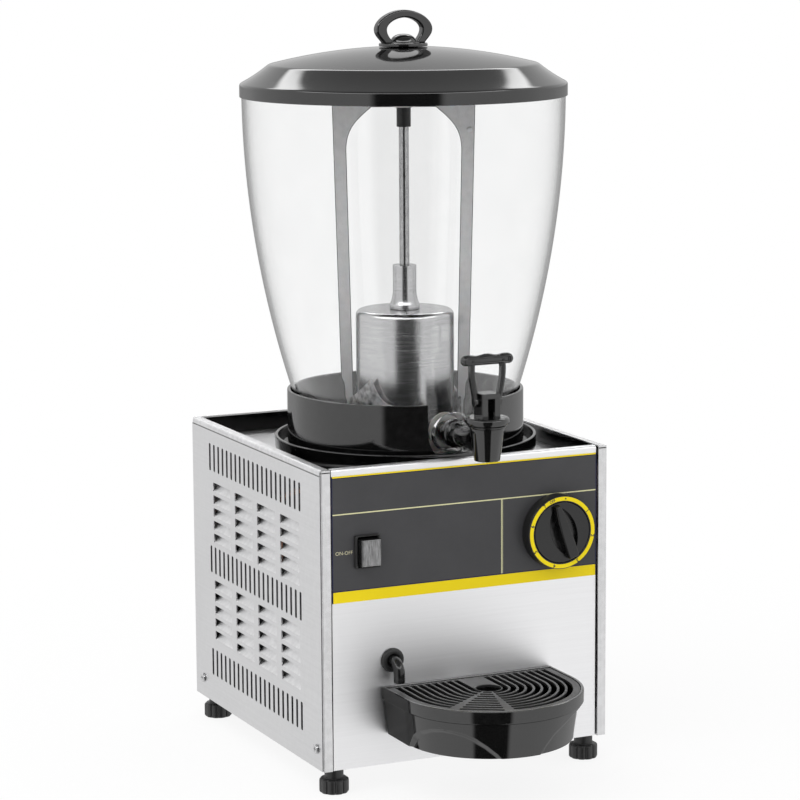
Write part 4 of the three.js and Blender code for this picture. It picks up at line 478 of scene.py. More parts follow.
axisY = 137
bowlSize = {"top": 649.5, "bottom": 300.5, "topRadius": 156, "seatRadius": 111.03, "seatZ": 359.2, "wall": 4,
            "hubInner": 52, "hubOuter": 55.6, "hubTop": 314.5, "corner": 9, "portZ": 331, "portRadius": 19.5}


# Outer radius of the bowl: widest at the rim, less by the square of the distance under it.
def bowlRadius(z):
    down = (bowlSize["top"] - np.asarray(z, float)) / (bowlSize["top"] - bowlSize["seatZ"])
    return bowlSize["topRadius"] - (bowlSize["topRadius"] - bowlSize["seatRadius"]) * down ** 2


def bowlShape():
    size = bowlSize
    heights = np.linspace(size["bottom"] + 12, size["top"] - 1, 46)
    outside = np.column_stack([bowlRadius(heights), heights])
    inside = np.column_stack([bowlRadius(heights) - size["wall"], heights])[::-1]
    floor = size["bottom"] + size["wall"]
    foot = rounded([(size["hubInner"], size["bottom"]), (bowlRadius(size["bottom"]), size["bottom"]),
                    tuple(outside[0])], (0, size["corner"], 0), 8, False)[:-1]
    brim = rounded([tuple(outside[-1]), (size["topRadius"], size["top"]),
                    (size["topRadius"] - size["wall"], size["top"]), tuple(inside[0])],
                   (0, 1, 1, 0), 4, False)[1:-1]
    inFoot = rounded([tuple(inside[-1]), (bowlRadius(floor) - size["wall"], floor), (size["hubOuter"], floor),
                      (size["hubOuter"], size["hubTop"]), (size["hubInner"], size["hubTop"])],
                     (0, 8, 2, 1.2, 1.2), 5, False)[1:]
    return turned(np.vstack([foot, outside, brim, inside, inFoot]), 0, axisY, 192)


# The ring round the tap's hole: its back follows the bowl's wall.
def portShape():
    size = bowlSize
    angle = np.linspace(0, tau, 72, endpoint=False)
    face = axisY - bowlRadius(size["portZ"]) - 6

    def ringAt(radius, y=None):
        x, z = radius * np.cos(angle), size["portZ"] + radius * np.sin(angle)
        if y is None:
            y = axisY - np.sqrt(bowlRadius(z) ** 2 - x ** 2) - 0.15
        return np.column_stack([x, np.broadcast_to(y, x.shape), z])

    rows = [ringAt(size["portRadius"]), ringAt(size["portRadius"], face + 1.2),
            ringAt(size["portRadius"] - 0.35, face + 0.35), ringAt(size["portRadius"] - 1.2, face),
            ringAt(12, face), ringAt(10.6, face + 0.8), ringAt(10.6)]
    return np.vstack(rows), gridFaces(len(rows), 72, True, True)


piece("bowl_shell", bowlShape(), clear, "bowl", ["bowl"])
piece("bowl_port_ring", portShape(), clear, "bowl", [])

lidSize = {"radius": 157.9, "skirt": 643, "skirtTop": 655.4, "bevelRadius": 130, "bevelTop": 673.6, "apex": 690,
           "wall": 3}


# The lid's dome: highest in the middle, less by the square of the distance from it. The slope outside it
# sags a little between its two edges.
def lidShape():
    size = lidSize
    radius = np.linspace(126, 6, 20)
    dome = size["apex"] - (size["apex"] - size["bevelTop"]) * (radius / size["bevelRadius"]) ** 2
    share = np.linspace(0, 1, 7)[1:-1]
    slope = np.column_stack([size["radius"] + (size["bevelRadius"] - size["radius"]) * share,
                             size["skirtTop"] + (size["bevelTop"] - size["skirtTop"]) * share
                             - 4 * share * (1 - share) * 1.1])
    top = [(size["radius"], size["skirt"]), (size["radius"], size["skirtTop"]), *slope,
           (size["bevelRadius"], size["bevelTop"])]
    under = [(3.3, size["apex"]), (3.3, size["apex"] - size["wall"]), (86, 679.8),
             (size["bevelRadius"], size["bevelTop"] - size["wall"]), (148.2, size["skirtTop"] - size["wall"]),
             (148.2, 642.8), (151.6, 642.8), (151.6, 649.8), (156.3, 649.8), (156.3, size["skirt"])]
    corners = top + list(zip(radius, dome)) + under
    radii = [0.5, 2.2] + [0] * 5 + [4] + [0] * 20 + [0.4] + [0.8] * 9
    return turned(rounded(corners, radii, 4), 0, axisY, 224)


piece("lid_cover", lidShape(), glossBlack, "lid", ["lid"], 28)

handleSize = {"base": 690.3, "discTop": 693.3, "disc": 23.5, "half": 29.5, "top": 724.8, "middle": 706.3, "neck": 21,
              "depth": 9.5, "holeHalf": 18.5, "holeTop": 717.4, "holeNeck": 12.5}


# Half of a loop from its foot to its crown: drawn in at the foot, widest at the middle height, round on top.
def loopHalf(half, top, neck, foot):
    middle = handleSize["middle"]
    side = bezier((-neck, foot), (-neck - 2, foot + (middle - foot) * 0.3),
                  (-half, middle - (middle - foot) * 0.45), (-half, middle), 12)
    crown = bezier((-half, middle), (-half, middle + (top - middle) * 0.5), (-half * 0.5, top), (0, top), 14)
    line = np.vstack([side, crown[1:]])
    return np.vstack([line, (line * (-1, 1))[::-1][1:]])


def handleShape():
    size = handleSize
    outline = loopHalf(size["half"], size["top"], size["neck"], size["discTop"] - 1)
    hole = loopHalf(size["holeHalf"], size["holeTop"], size["holeNeck"], size["discTop"] + 1)
    loop = moved(upright(plate(outline, [hole], size["depth"], 1.9, 5)), 0, axisY, 0)
    disc = turned(rounded([(0, size["base"]), (size["disc"], size["base"]), (size["disc"], size["discTop"]),
                           (0, size["discTop"])], (0, 0.5, 1.4, 0), 4), 0, axisY, 72)
    cap = turned(rounded([(0, 692), (13.4, 692), (12.6, 695.4), (10.4, 699), (5.6, 701.6), (0, 702)],
                         (0, 0.2, 2, 3, 4, 0), 5), 0, axisY, 56)
    collar = turned(rounded([(0, 692.5), (16.4, 692.5), (15.6, 694.6), (0, 695)], (0, 0.3, 0.8, 0), 3),
                    0, axisY, 56)
    return together(loop, disc, collar, cap)


piece("lid_handle_loop", handleShape(), glossBlack, "lid", ["lid_handle"], 40)

collarSize = {"radius": 115.4, "inner": 112, "bottom": 297.2, "top": 359.2, "floor": 300.2, "hole": 58,
              "notchHalf": 28.2, "notchZ": 331}


# The collar: a closed section round the axis whose rim dips along the notch at the front.
def collarShape():
    size = collarSize
    half = math.asin(size["notchHalf"] / size["radius"])
    inNotch = half * np.sin(np.linspace(-math.pi / 2, math.pi / 2, 41))
    around = np.linspace(half + 0.004, tau - half - 0.004, 150)
    turn = np.concatenate([inNotch, around])
    across = size["radius"] * np.sin(inNotch)
    low = size["notchZ"] - np.sqrt(np.maximum(size["notchHalf"] ** 2 - across ** 2, 0))
    rim = np.concatenate([low, np.full(len(around), float(size["top"]))])
    section = [(size["radius"], -1.0), (size["radius"] - 0.3, -0.3), (size["radius"] - 1.0, 0.0),
               (size["inner"] + 0.9, 0.0), (size["inner"] + 0.3, -0.3), (size["inner"], -1.0)]
    rows = [(radius, rim + drop) for radius, drop in section]
    rows += [(radius, np.full(len(turn), float(height))) for radius, height in (
        (size["inner"], size["floor"]), (size["hole"], size["floor"]), (size["hole"], size["bottom"]),
        (size["radius"] - 1, size["bottom"]), (size["radius"], size["bottom"] + 1.0))]
    places = [np.column_stack([radius * np.sin(turn), axisY - radius * np.cos(turn), z]) for radius, z in rows]
    return np.vstack(places), gridFaces(len(rows), len(turn), True, True)


piece("bowl_collar_ring", collarShape(), glossBlack, "cabinet", ["bowl_collar"], 34)
dishLine = rounded([(52, 293.9), (120.8, 293.9), (127.8, 300.9), (127.8, 314.2), (124.8, 314.2), (124.8, 302.4),
                    (119.3, 296.9), (52, 296.9)], (0.5, 3, 3, 1, 1, 3, 3, 0.5), 4)
piece("bowl_seat_dish_ring", turned(dishLine, 0, axisY, 176), glossBlack, "cabinet", ["bowl_seat_dish"],
      34)

shellLine = np.vstack([
    [(46.6, 290.9), (53, 290.9), (53, 292.1), (47.8, 292.1)],
    [(41.8 + 6 * math.cos(a), 430.6 + 6 * math.sin(a)) for a in np.linspace(0, math.pi / 2, 9)],
    [(10.6, 436.6), (10.6, 435.4), (41.6, 435.4), (46.6, 430.4)]])
piece("evaporator_cylinder", turned(shellLine, 0, axisY, 128), coldSteel, "cabinet", ["evaporator_shell"],
      34)
coneLine = rounded([(5.1, 424.9), (9.9, 424.9), (9.9, 436.9), (14.8, 436.9), (14.8, 440.4), (13.1, 444.4),
                    (11.4, 451), (11.4, 479.6), (5.1, 479.6)], (0, 0, 0, 0.6, 1.6, 4, 4, 0.8, 0.4), 4)
piece("shaft_bearing_sleeve", turned(coneLine, 0, axisY, 72), coldSteel, "cabinet", ["shaft_bearing_cone"],
      34)
shaftLine = rounded([(0, 246), (4.8, 246), (4.8, 655), (0, 655)], (0, 0.8, 0.8, 0), 3)
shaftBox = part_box("drive_shaft")
shaftLine[:, 1] = np.clip(shaftLine[:, 1], shaftBox[0].z * 1000, shaftBox[1].z * 1000)
piece("drive_shaft_rod", turned(shaftLine, 0, axisY, 48), darkSteel, "shaft", ["drive_shaft"], 34)
hubLine = rounded([(5.1, 613), (6.9, 613), (6.9, 659.3), (0, 659.3), (0, 655.3), (5.1, 655.3)],
                  (0.3, 0.8, 1.2, 0, 0, 0), 3)
piece("agitator_hub_sleeve", turned(hubLine, 0, axisY, 56), mattBlack, "agitator", ["agitator_hub"], 34)

agitatorSize = {"yaw": -25, "top": 649, "bottom": 322, "thick": 3, "outerTop": 69.4, "outerBottom": 61.4,
                "widthTop": 12.6, "widthBottom": 11.4, "stepZ": 369, "footZ": 350, "archFoot": 590, "archTop": 632,
                "archInner": 31, "bevel": 0.95, "pegHalf": 2.7, "finInner": 52, "finOuter": 54.6, "finFoot": 330}


# One leg's outer and inner lines lean outwards evenly from the pegs to the crossbar. The rim is painted shade: a dark
# plate in the sheet that shows only along its bevelled edges as dark outlines.
def agitatorShape(rim=False):
    size = agitatorSize

    def share(z):
        return (z - size["bottom"]) / (size["top"] - size["bottom"])

    def outer(z):
        return size["outerBottom"] + (size["outerTop"] - size["outerBottom"]) * share(z)

    def inner(z):
        return outer(z) - size["widthBottom"] - (size["widthTop"] - size["widthBottom"]) * share(z)

    top, bottom, stepZ, footZ, pegHalf = size["top"], size["bottom"], size["stepZ"], size["footZ"], size["pegHalf"]
    lowOuter = outer(footZ) - 3
    peg = (lowOuter + inner(footZ)) / 2
    corners = [(outer(top), top), (outer(stepZ), stepZ), (outer(stepZ) - 3, stepZ - 6), (lowOuter, footZ),
               (peg + pegHalf, footZ - 4), (peg + pegHalf, bottom), (peg - pegHalf, bottom),
               (peg - pegHalf, footZ - 4), (inner(footZ), footZ)]
    leg = rounded(corners, (1, 2, 3, 3, 3, 2.6, 2.6, 3, 3), 4, False)
    foot = (inner(size["archFoot"]), size["archFoot"])
    arch = bezier(foot, (foot[0], 612), (45, 620), (size["archInner"], size["archTop"]), 16)
    side = np.vstack([leg, arch])
    outline = np.vstack([side, (side * (-1, 1))[::-1]])
    sheet = upright(plate(outline, [], size["thick"] - 0.16, 0.1, 1) if rim else
                    plate(outline, [], size["thick"], size["bevel"], 2))
    hub = turned(rounded([(7.2, 632), (11, 632), (11, 649), (7.2, 649)], 0.6, 3), 0, 0, 48)
    screw = turnedForwards(rounded([(0, 0), (2.7, 0), (2.7, 1.4), (1.8, 2), (0, 2)], (0, 0.1, 0.6, 0.5, 0), 3),
                           66.7 - 3, -1.5, 610, 32)
    parts = [sheet] if rim else [sheet, hub, screw]
    finInner, finOuter = size["finInner"], size["finOuter"]
    for side in () if rim else (0, math.pi):
        steps = np.linspace(0, 1, 41)
        near = np.where(steps < 0.7, steps / 0.7, (1 - steps) / 0.3)
        edge = footZ + 23.6 * near ** 2
        low = size["finFoot"] + 0 * edge
        turn = math.pi + side + np.radians(steps * 78 - 2)
        rows = [(finInner, low), (finOuter, low), (finOuter, edge - 0.5), (finOuter - 0.4, edge),
                (finInner + 0.4, edge), (finInner, edge - 0.5)]
        places = np.vstack([np.column_stack([r * np.cos(turn), r * np.sin(turn), z]) for r, z in rows])
        faces = gridFaces(6, 41, True, False)
        faces += [[k * 41 for k in range(6)], [k * 41 + 40 for k in range(6)]]
        parts.append((places, faces))
    places, faces = together(*parts)
    return spun(places, math.radians(size["yaw"])) + (0, axisY, 0), faces


piece("agitator_blade", agitatorShape(), frosted, "agitator", ["agitator_frame"], 30)
# Painted shade: the dark plate that shows along the agitator sheet's bevelled edges.
piece("agitator_edge_shade", agitatorShape(True), paintedEdgeShade, "agitator", [], 30)
print("bowl made")


tapY = -42


def tapShapes():
    portZ = bowlSize["portZ"]
    spout = turned(rounded([(8.4, 315.7), (12, 315.7), (12.3, 318), (16.2, 343.6), (16.2, 346.9), (9.6, 346.9),
                            (9.6, 323.7), (8.4, 321)], (0.4, 1, 2, 2, 0.6, 0.4, 1, 1), 4), 0, tapY, 72)
    face = axisY - float(bowlRadius(portZ)) - 6 - 0.3
    nut = turnedForwards(rounded([(10, 0), (13.8, 0), (13.8, 8), (12.4, 9), (12.4, 14), (10.4, 22), (0, 22), (0, 21),
                                  (8, 21)], (0.3, 1, 1.2, 0.6, 3, 2, 0, 0, 0), 4), 0, face, portZ, 72)
    neck = turnedForwards([(5.5, -22), (10, -22), (10, 46), (5.5, 46)], 0, face, portZ, 56)
    return together(spout, nut, neck)


piece("tap_spout", tapShapes(), glossBlack, "bowl", ["tap_body"], 34)


def bonnetShape():
    disc = turned(rounded([(2.9, 347.3), (17.6, 347.3), (18.2, 348.6), (17, 349.4), (17, 349.9), (20.2, 350.4),
                           (20.8, 352), (20.8, 355.4), (18.8, 356.9), (2.9, 356.9)],
                          (0, 0.5, 0.5, 0.3, 0.3, 0.6, 1, 1.4, 0.8, 0), 4), 0, tapY, 80)
    fork = rounded([(-9.5, 9.3), (-9.5, -9.5), (-3.5, -9.5), (-3.5, 4.5), (3.5, 4.5), (3.5, -9.5), (9.5, -9.5),
                    (9.5, 9.3)], (2, 0.9, 0.4, 0.8, 0.8, 0.4, 0.9, 2), 4)
    cheeks = moved(plate(fork, [], 19, 0.4, 2), 0, tapY, 366)
    web = moved(plate(oblong(-9.5, 9.5, -9.5, 9.3, 1), [], 5, 0.6, 3), 0, tapY, 376.9)
    return together(disc, cheeks, web)


piece("tap_bonnet_block", bonnetShape(), glossBlack, "bowl", ["tap_bonnet"], 36)


# The lever: two bowed arms on a pin, and a cross bar with round ends, a wavy top and a sunk front. The bar's
# top rises and falls as a cosine with one hump in the middle and one at each end.
leverSize = {"pivot": 371.4, "barZ": 410.3, "half": 26.5, "radius": 5.2, "wave": 1.1}


def leverShape():
    size = leverSize
    path = np.vstack([[(11.6, 0, -2.5)], bezier((11.6, 0, 0), (12.6, 0, 10), (17.6, 0, 22), (15.4, 0, 39), 16)])
    section = oblong(-3.3, 3.3, -2.3, 2.3, 1.1, 3)
    parts = []

    def across(shape, x):
        places, faces = shape
        return np.column_stack([places[:, 2] + x, places[:, 0] + tapY, places[:, 1] + size["pivot"]]), faces

    for side in (1, -1):
        places, faces = swept(path, section, (0, 1, 0))
        parts.append(moved((places * (side, 1, 1), faces), 0, tapY, size["pivot"]))
        rib = swept(path + (0, -3.4, 0), circle(0.8, 12), (0, 1, 0))
        parts.append(moved((rib[0] * (side, 1, 1), rib[1]), 0, tapY, size["pivot"]))
        eye = turned(rounded([(0, -2.3), (5, -2.3), (5, 2.3), (0, 2.3)], (0, 0.8, 0.8, 0), 3), 0, 0, 40)
        parts.append(across(eye, side * 11.6))
    parts.append(across(turned([(0, -11.5), (2.4, -11.5), (2.4, 11.5), (0, 11.5)], 0, 0, 24), 0))
    x = np.linspace(-size["half"], size["half"], 90)
    swell = np.sqrt(np.clip(1 - (1 - np.clip((size["half"] - np.abs(x)) / 4.2, 0, 1)) ** 2, 0.02, 1))
    top = size["radius"] - size["wave"] * (0.5 - 0.5 * np.cos(x / 19 * tau))
    top = top + 0.5 * np.exp(-(x / 9) ** 2)
    angle = np.linspace(0, tau, 40, endpoint=False)
    up, out = np.sin(angle)[None], np.cos(angle)[None]
    z = size["barZ"] + np.where(up > 0, top[:, None], size["radius"] - 0.4) * up * swell[:, None]
    y = tapY + size["radius"] * out * swell[:, None]
    sunk = np.clip((size["half"] - 4.5 - np.abs(x)[:, None]) / 1.2, 0, 1) * np.clip((0.5 - np.abs(up)) / 0.12, 0, 1)
    y = np.where(out < 0, np.maximum(y, tapY - 4.6) + 1.3 * sunk, y)
    bar = np.stack([np.broadcast_to(x[:, None], z.shape), y, z], axis=-1).reshape(-1, 3)
    faces = gridFaces(90, 40, False, True) + [list(range(40)), list(range(89 * 40, 90 * 40))]
    parts.append((bar, faces))
    return together(*parts)


piece("tap_lever_bar", leverShape(), glossBlack, "tap_lever", ["tap_handle"], 40)
print("tap made")


cabinetSize = {"floor": 24, "top": 311, "half": 150, "sheet": 1.2, "frontHalf": 138.8, "postTall": 285.4,
               "screwY": (15.8, 308), "screwZ": 43.4, "drainX": -78, "drainZ": 124.4}


# Section of a folded edge: up to the bend, round it and along the flange.
def foldSection(height, radius, flange, thick, rise=6.0):
    turn = np.linspace(0, math.pi / 2, 7)
    outer = [(0, height - rise)] + [(radius - radius * math.cos(a),
                                     height - radius + radius * math.sin(a)) for a in turn]
    inner = [(thick, height - rise)] + [(radius - (radius - thick) * math.cos(a),
                                      height - radius + (radius - thick) * math.sin(a)) for a in turn]
    return np.array(outer + [(flange, height), (flange, height - thick)] + inner[::-1])


sideSize = {"slotPitch": 11.5, "slotFirst": 281, "slotHalf": 2.2, "slotTall": 13.75,
            "slotRows": [24 + 287 * share for share in (0.1477, 0.5192, 0.885)],
            "louvreFirst": 250, "louvrePitch": 58, "louvreLong": 46, "louvreStep": 0.04547 * 287,
            "louvreRows": [24 + 287 * share for share in (0.2342, 0.5845)], "lean": 5.4}
sideSize["louvreTall"] = sideSize["louvreStep"] - 4


def sidePanelShape(side):
    size, half = sideSize, cabinetSize["half"]
    holes = []
    for z in size["slotRows"]:
        for i in range(21):
            y = size["slotFirst"] - i * size["slotPitch"]
            holes.append(oblong(y - size["slotHalf"], y + size["slotHalf"], z - size["slotTall"],
                                z + size["slotTall"], 1.6, 3))
    long, tall, lean = size["louvreLong"], size["louvreTall"], size["lean"]
    rise = np.linspace(0, 1, 9)
    line = np.column_stack([lean * (1.25 * rise - 0.25 * rise ** 3), -0.2 + rise * (tall - 1.6)])
    thick = np.vstack([line, (line + (1.0, -0.15))[::-1]])
    flaps = []
    for base in size["louvreRows"]:
        for row in range(5):
            for column in range(4):
                y = size["louvreFirst"] - column * size["louvrePitch"]
                z = base + row * size["louvreStep"]
                holes.append(oblong(y - long / 2, y + long / 2, z, z + tall, 1.2, 3))
                start, end = y - long / 2 + 0.3, y + long / 2 - 0.3
                flaps.append(moved(strip(thick, start, end), -half, 0, z))
                cheek = np.array([(0.6, 0), (lean + 0.6, tall - 0.4), (0.6, tall - 0.4)])
                near = [(-half + a, start - 0.2, z + b) for a, b in cheek]
                far = [(-half + a, start + 0.7, z + b) for a, b in cheek]
                flaps.append((np.array(near + far), [[0, 1, 2], [3, 5, 4], [0, 3, 4, 1], [1, 4, 5, 2], [2, 5, 3, 0]]))
    for y in cabinetSize["screwY"]:
        holes.append(circle(2.3, 20, y, cabinetSize["screwZ"]))
    sheet = sideways(plate(oblong(2.8, 329, cabinetSize["floor"], cabinetSize["top"] - 5, 0.3, 2), holes,
                           cabinetSize["sheet"], 0.2, 1))
    sheet = moved(sheet, 0.6 - half, 0, 0)
    fold = moved(strip(foldSection(cabinetSize["top"], 2.6, 9, cabinetSize["sheet"]), 2.8, 327.5), -half)
    places, faces = together(sheet, fold, *flaps)
    return places * (1 if side < 0 else -1, 1, 1), faces


for side, word in ((-1, "left"), (1, "right")):
    piece(f"side_sheet_{word}", sidePanelShape(side), steelSideShaded, "cabinet", [f"{word}_side_panel"], 30)


# The front: holes for the drain, the dial and the switch, and a fold on top.
def frontPanelShape():
    half, thick = cabinetSize["frontHalf"], cabinetSize["sheet"]
    holes = [circle(8.3, 40, cabinetSize["drainX"], cabinetSize["drainZ"]), circle(7.5, 40, 94.5, 232.9),
             oblong(-115.3, -92.3, 216.5, 246.7, 1, 3)]
    sheet = upright(plate(oblong(-half, half, cabinetSize["floor"], 307.2, 0.3, 2), holes, thick, 0.2, 1))
    places, faces = strip(foldSection(cabinetSize["top"], 2.4, 6.5, thick, 4), -half, half)
    return together(moved(sheet, 0, 2.6, 0), (places[:, [1, 0, 2]] + (0, 2, 0), faces))


piece("front_sheet", frontPanelShape(), steelFrontLit, "cabinet", ["front_panel"], 30)


# A corner post: a folded strip with a round outer corner and a leg behind it.
def postShape(side):
    face = rounded([(-149.4, 1.5), (-149.4, 0), (-140.3, 0), (-140.3, 1.5), (-147, 1.5), (-147, 12.5), (-148.5, 12.5),
                    (-148.5, 1.5)], (0.3, 1.2, 0.6, 0.4, 0.3, 0.3, 0.3, 0), 4)
    tall = cabinetSize["postTall"]
    cap = rounded([(-149.4, 1.5), (-149.4, 0), (-140.3, 0), (-140.3, 1.5)], (0.3, 1.2, 0.6, 0.4), 4)
    top = moved(plate(cap, [], 3, 0.2, 1), 0, 0, cabinetSize["top"] - 1.5)
    places, faces = together(moved(plate(face, [], tall, 0.2, 1), 0, 0, cabinetSize["floor"] + tall / 2), top)
    return places * (1 if side < 0 else -1, 1, 1), faces


for side, word in ((-1, "left"), (1, "right")):
    piece(f"corner_strip_{word}", postShape(side), steelPostShaded, "cabinet", [f"front_post_{word}"], 34)

gland = {"x": -95, "z": 62, "y": 329.3, "hole": 7.9}
ventHoles = [oblong(x - 2.5, x + 2.5, 55, 145, 2.4, 4) for x in (70 + (i - 4) * 12 for i in range(9))]
backOutline = oblong(-148.8, 148.8, cabinetSize["floor"], cabinetSize["top"], 0.3, 2)
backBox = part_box("back_panel")
backOutline[:, 0] = np.clip(backOutline[:, 0], backBox[0].x * 1000, backBox[1].x * 1000)
backHoles = ventHoles + [circle(gland["hole"], 36, gland["x"], gland["z"])]
backSheet = moved(upright(plate(backOutline, backHoles, cabinetSize["sheet"], 0.2, 1)), 0, 328.4, 0)
piece("back_sheet", backSheet, galvanised, "cabinet", ["back_panel"], 30)


# A six-sided nut, a domed body and the plug in it, all pointing backwards.
def glandShape():
    nut = moved(plate(circle(11, 6), [circle(5, 32)], 4, 0.5, 2), 0, 0, 2.0)
    dome = turned(rounded([(4.5, -8), (7.5, -8), (7.5, 4), (9, 4.4), (8.4, 8), (5.4, 10), (4.5, 10)],
                          (0.2, 0.3, 0.3, 1, 2, 0.6, 0.3), 4), 0, 0, 48)
    plug = turned([(0, 2), (4.6, 2), (4.6, 8.4), (0, 8.6)], 0, 0, 32)
    places, faces = together(nut, dome, plug)
    return places[:, [0, 2, 1]] + (gland["x"], gland["y"], gland["z"]), faces


piece("cable_gland_nut", glandShape(), mattBlack, "cabinet", ["cable_gland"], 30)


# A pan head with a crossed recess on a short shank.
def screwShape(side, y):
    arm, reach = 0.55, 2.3
    cross = [(arm, arm), (reach, arm), (reach, -arm), (arm, -arm), (arm, -reach), (-arm, -reach), (-arm, -arm),
             (-reach, -arm), (-reach, arm), (-arm, arm), (-arm, reach), (arm, reach)]
    head = moved(plate(circle(4.5, 40), [np.array(cross)], 1.0, 0.45, 3), 0, 0, 1.5)
    base = turned([(0, 0.02), (4.5, 0.02), (4.6, 0.3), (4.6, 0.9), (4.5, 1.1), (0, 1.1)], 0, 0, 40)
    shank = turned([(0, -8), (2, -7.6), (2, 0.4), (0, 0.4)], 0, 0, 20)
    places, faces = together(head, base, shank)
    out = side * (cabinetSize["half"] + 0.3 + places[:, 2])
    return np.column_stack([out, y + places[:, 0], cabinetSize["screwZ"] + places[:, 1]]), faces


for side, word in ((-1, "left"), (1, "right")):
    for y, place in zip(cabinetSize["screwY"], ("front", "rear")):
        piece(f"pan_screw_{word}_{place}", screwShape(side, y), steelPostShaded, "cabinet",
              [f"side_screw_{word}_{place}"], 34)
print("cabinet made")


labelY = 1.2


# Marks on the label: a plan on its face, towards the front.
def printed(shape, x, z, y=labelY):
    places, faces = shape
    return np.column_stack([x + places[:, 0], y - 0.05 - places[:, 2], z + places[:, 1]]), faces


piece("switch_words", printed(lettering("ON-OFF", 4.8, 0.09, 0.05), -126.6, 231.4), ink, "cabinet", [], 30)

switch = {"x": -103.8, "z": 231.6, "frame": (12.85, 15.65), "well": (10.25, 14.3), "face": -3.3,
          "lens": (9.95, 12.75), "proud": 7.8, "edge": 1.1}


def switchFrameShape():
    (frameX, frameZ), (wellX, wellZ) = switch["frame"], switch["well"]
    well = oblong(-wellX, wellX, -wellZ, wellZ, 0.8, 3)
    parts = []
    for outline, holes, depth, bevel, start in (
            (oblong(-frameX, frameX, -frameZ, frameZ, 1.8, 4), [well], 4.2, 0.9, switch["face"]),
            (oblong(-11.2, 11.2, -14.8, 14.8, 0.6, 2), [well], 20, 0.2, 0.9),
            (oblong(-11.1, 11.1, -14.7, 14.7, 0.6, 2), [], 4, 0.2, 20.9)):
        places, faces = upright(plate(outline, holes, depth, bevel, 3))
        parts.append((places + (switch["x"], start + depth / 2, switch["z"]), faces))
    return together(*parts)


piece("switch_frame", switchFrameShape(), mattBlack, "cabinet", ["switch_housing"], 34)


# The rocker: a block with rounded edges whose front is crowned a little from top to bottom, behind a thin rim.
def rockerShape():
    (halfX, halfZ), count = switch["lens"], 41
    grid = np.linspace(-1, 1, count)
    grid = np.sign(grid) * (1 - (1 - np.abs(grid)) ** 1.6)
    u, v = np.meshgrid(grid, grid, indexing="ij")
    inX, inZ = halfX * (1 - np.abs(u)), halfZ * (1 - np.abs(v))
    near = np.minimum(inX, inZ)
    rounding = np.clip(near / switch["edge"], 0, 1)
    rim = np.clip(1 - np.abs(near - 1.5) / 0.5, 0, 1)
    fall = switch["edge"] * (1 - np.sqrt(1 - (1 - rounding) ** 2))
    y = switch["face"] - switch["proud"] + 0.5 * v ** 2 + fall + 0.35 * rim
    face = np.stack([switch["x"] + halfX * u, y, switch["z"] + halfZ * v], axis=-1).reshape(-1, 3)
    back = face.copy()
    back[:, 1] = 1.5
    faces = gridFaces(count, count, False, False)
    last = count - 1
    outer = [i * count for i in range(count)] + [last * count + j for j in range(1, count)] \
        + [i * count + last for i in range(last - 1, -1, -1)] + list(range(last - 1, 0, -1))
    size = count * count
    walls = [[a, b, b + size, a + size] for a, b in zip(outer, outer[1:] + outer[:1])]
    return np.vstack([face, back]), faces + [[index + size for index in side] for side in faces] + walls


piece("switch_lens", rockerShape(), lens, "rocker", ["switch_rocker"], 34)

dial = {"x": 94.5, "z": 232.9, "y": 0.9, "radius": 35.8, "depth": 14, "well": 29.6, "base": 4, "bore": 7.5,
        "off": 19, "marks": 32.8, "markSize": 4.9, "print": 14.12}
bezelLine = rounded([(dial["bore"], 0), (dial["radius"], 0), (dial["radius"], 11.4), (34.9, 13.7),
                     (30.6, dial["depth"]), (dial["well"], 13.2), (dial["well"], dial["base"]),
                     (dial["bore"], dial["base"])], (0, 0.4, 1.5, 0.8, 0.6, 0.6, 0.4, 0), 4)


# A profile turned about the dial's axis.
def onDial(line):
    return turnedForwards(line, dial["x"], dial["y"], dial["z"], 112)


piece("dial_cup", onDial(bezelLine), mattBlack, "cabinet", ["dial_bezel"], 30)
outlineLine = np.array([(30.2, 13.7), (35.2, 13.7), (35.3, 14.02), (33, 14.05), (30.2, 14.02)])
piece("dial_scale_edge", onDial(outlineLine), inkDark, "cabinet", [], 30)
ringLine = np.array([(30.9, 13.8), (34.7, 13.8), (34.7, 14.1), (32.8, 14.14), (30.9, 14.1)])
piece("dial_scale_ring", onDial(ringLine), yellowRing, "cabinet", [], 30)
marks = []


# A mark on the dial's ring at a bearing from the top, turned by its own lean.
def onRing(shape, angle, lean=0.0):
    turn = math.radians(angle)
    step = (dial["marks"] * math.sin(turn), dial["marks"] * math.cos(turn), 0)
    places = spun(shape[0], -math.radians(lean)) + step
    return printed((places, shape[1]), dial["x"], dial["z"], dial["y"] - dial["print"])


for word, angle in (("OFF", -19), ("1", 55), ("2", 100), ("3", 150), ("4", 195), ("5", 240), ("6", 285), ("7", 325)):
    size = dial["markSize"] if word != "OFF" else 3.6
    marks.append(onRing(lettering(word, size, 0.1, -0.02 * size), angle, angle))
marks.append(onRing(plate(circle(0.8, 20), [], 0.08, 0.01, 1), 6))
piece("dial_numbers", together(*marks), inkDark, "cabinet", [], 30)


# The knob: a disc with a lens-shaped hollow and a grip that stands in it, turned to the off mark. The hollow's
# two arcs meet over and under the middle: radius = (half length squared + half width squared) / 2 half widths.
knob = {"radius": 29.3, "face": 9.4, "hollow": 5.0, "hollowHalf": (13.4, 27.2), "aside": 2.0, "grip": 15.8}


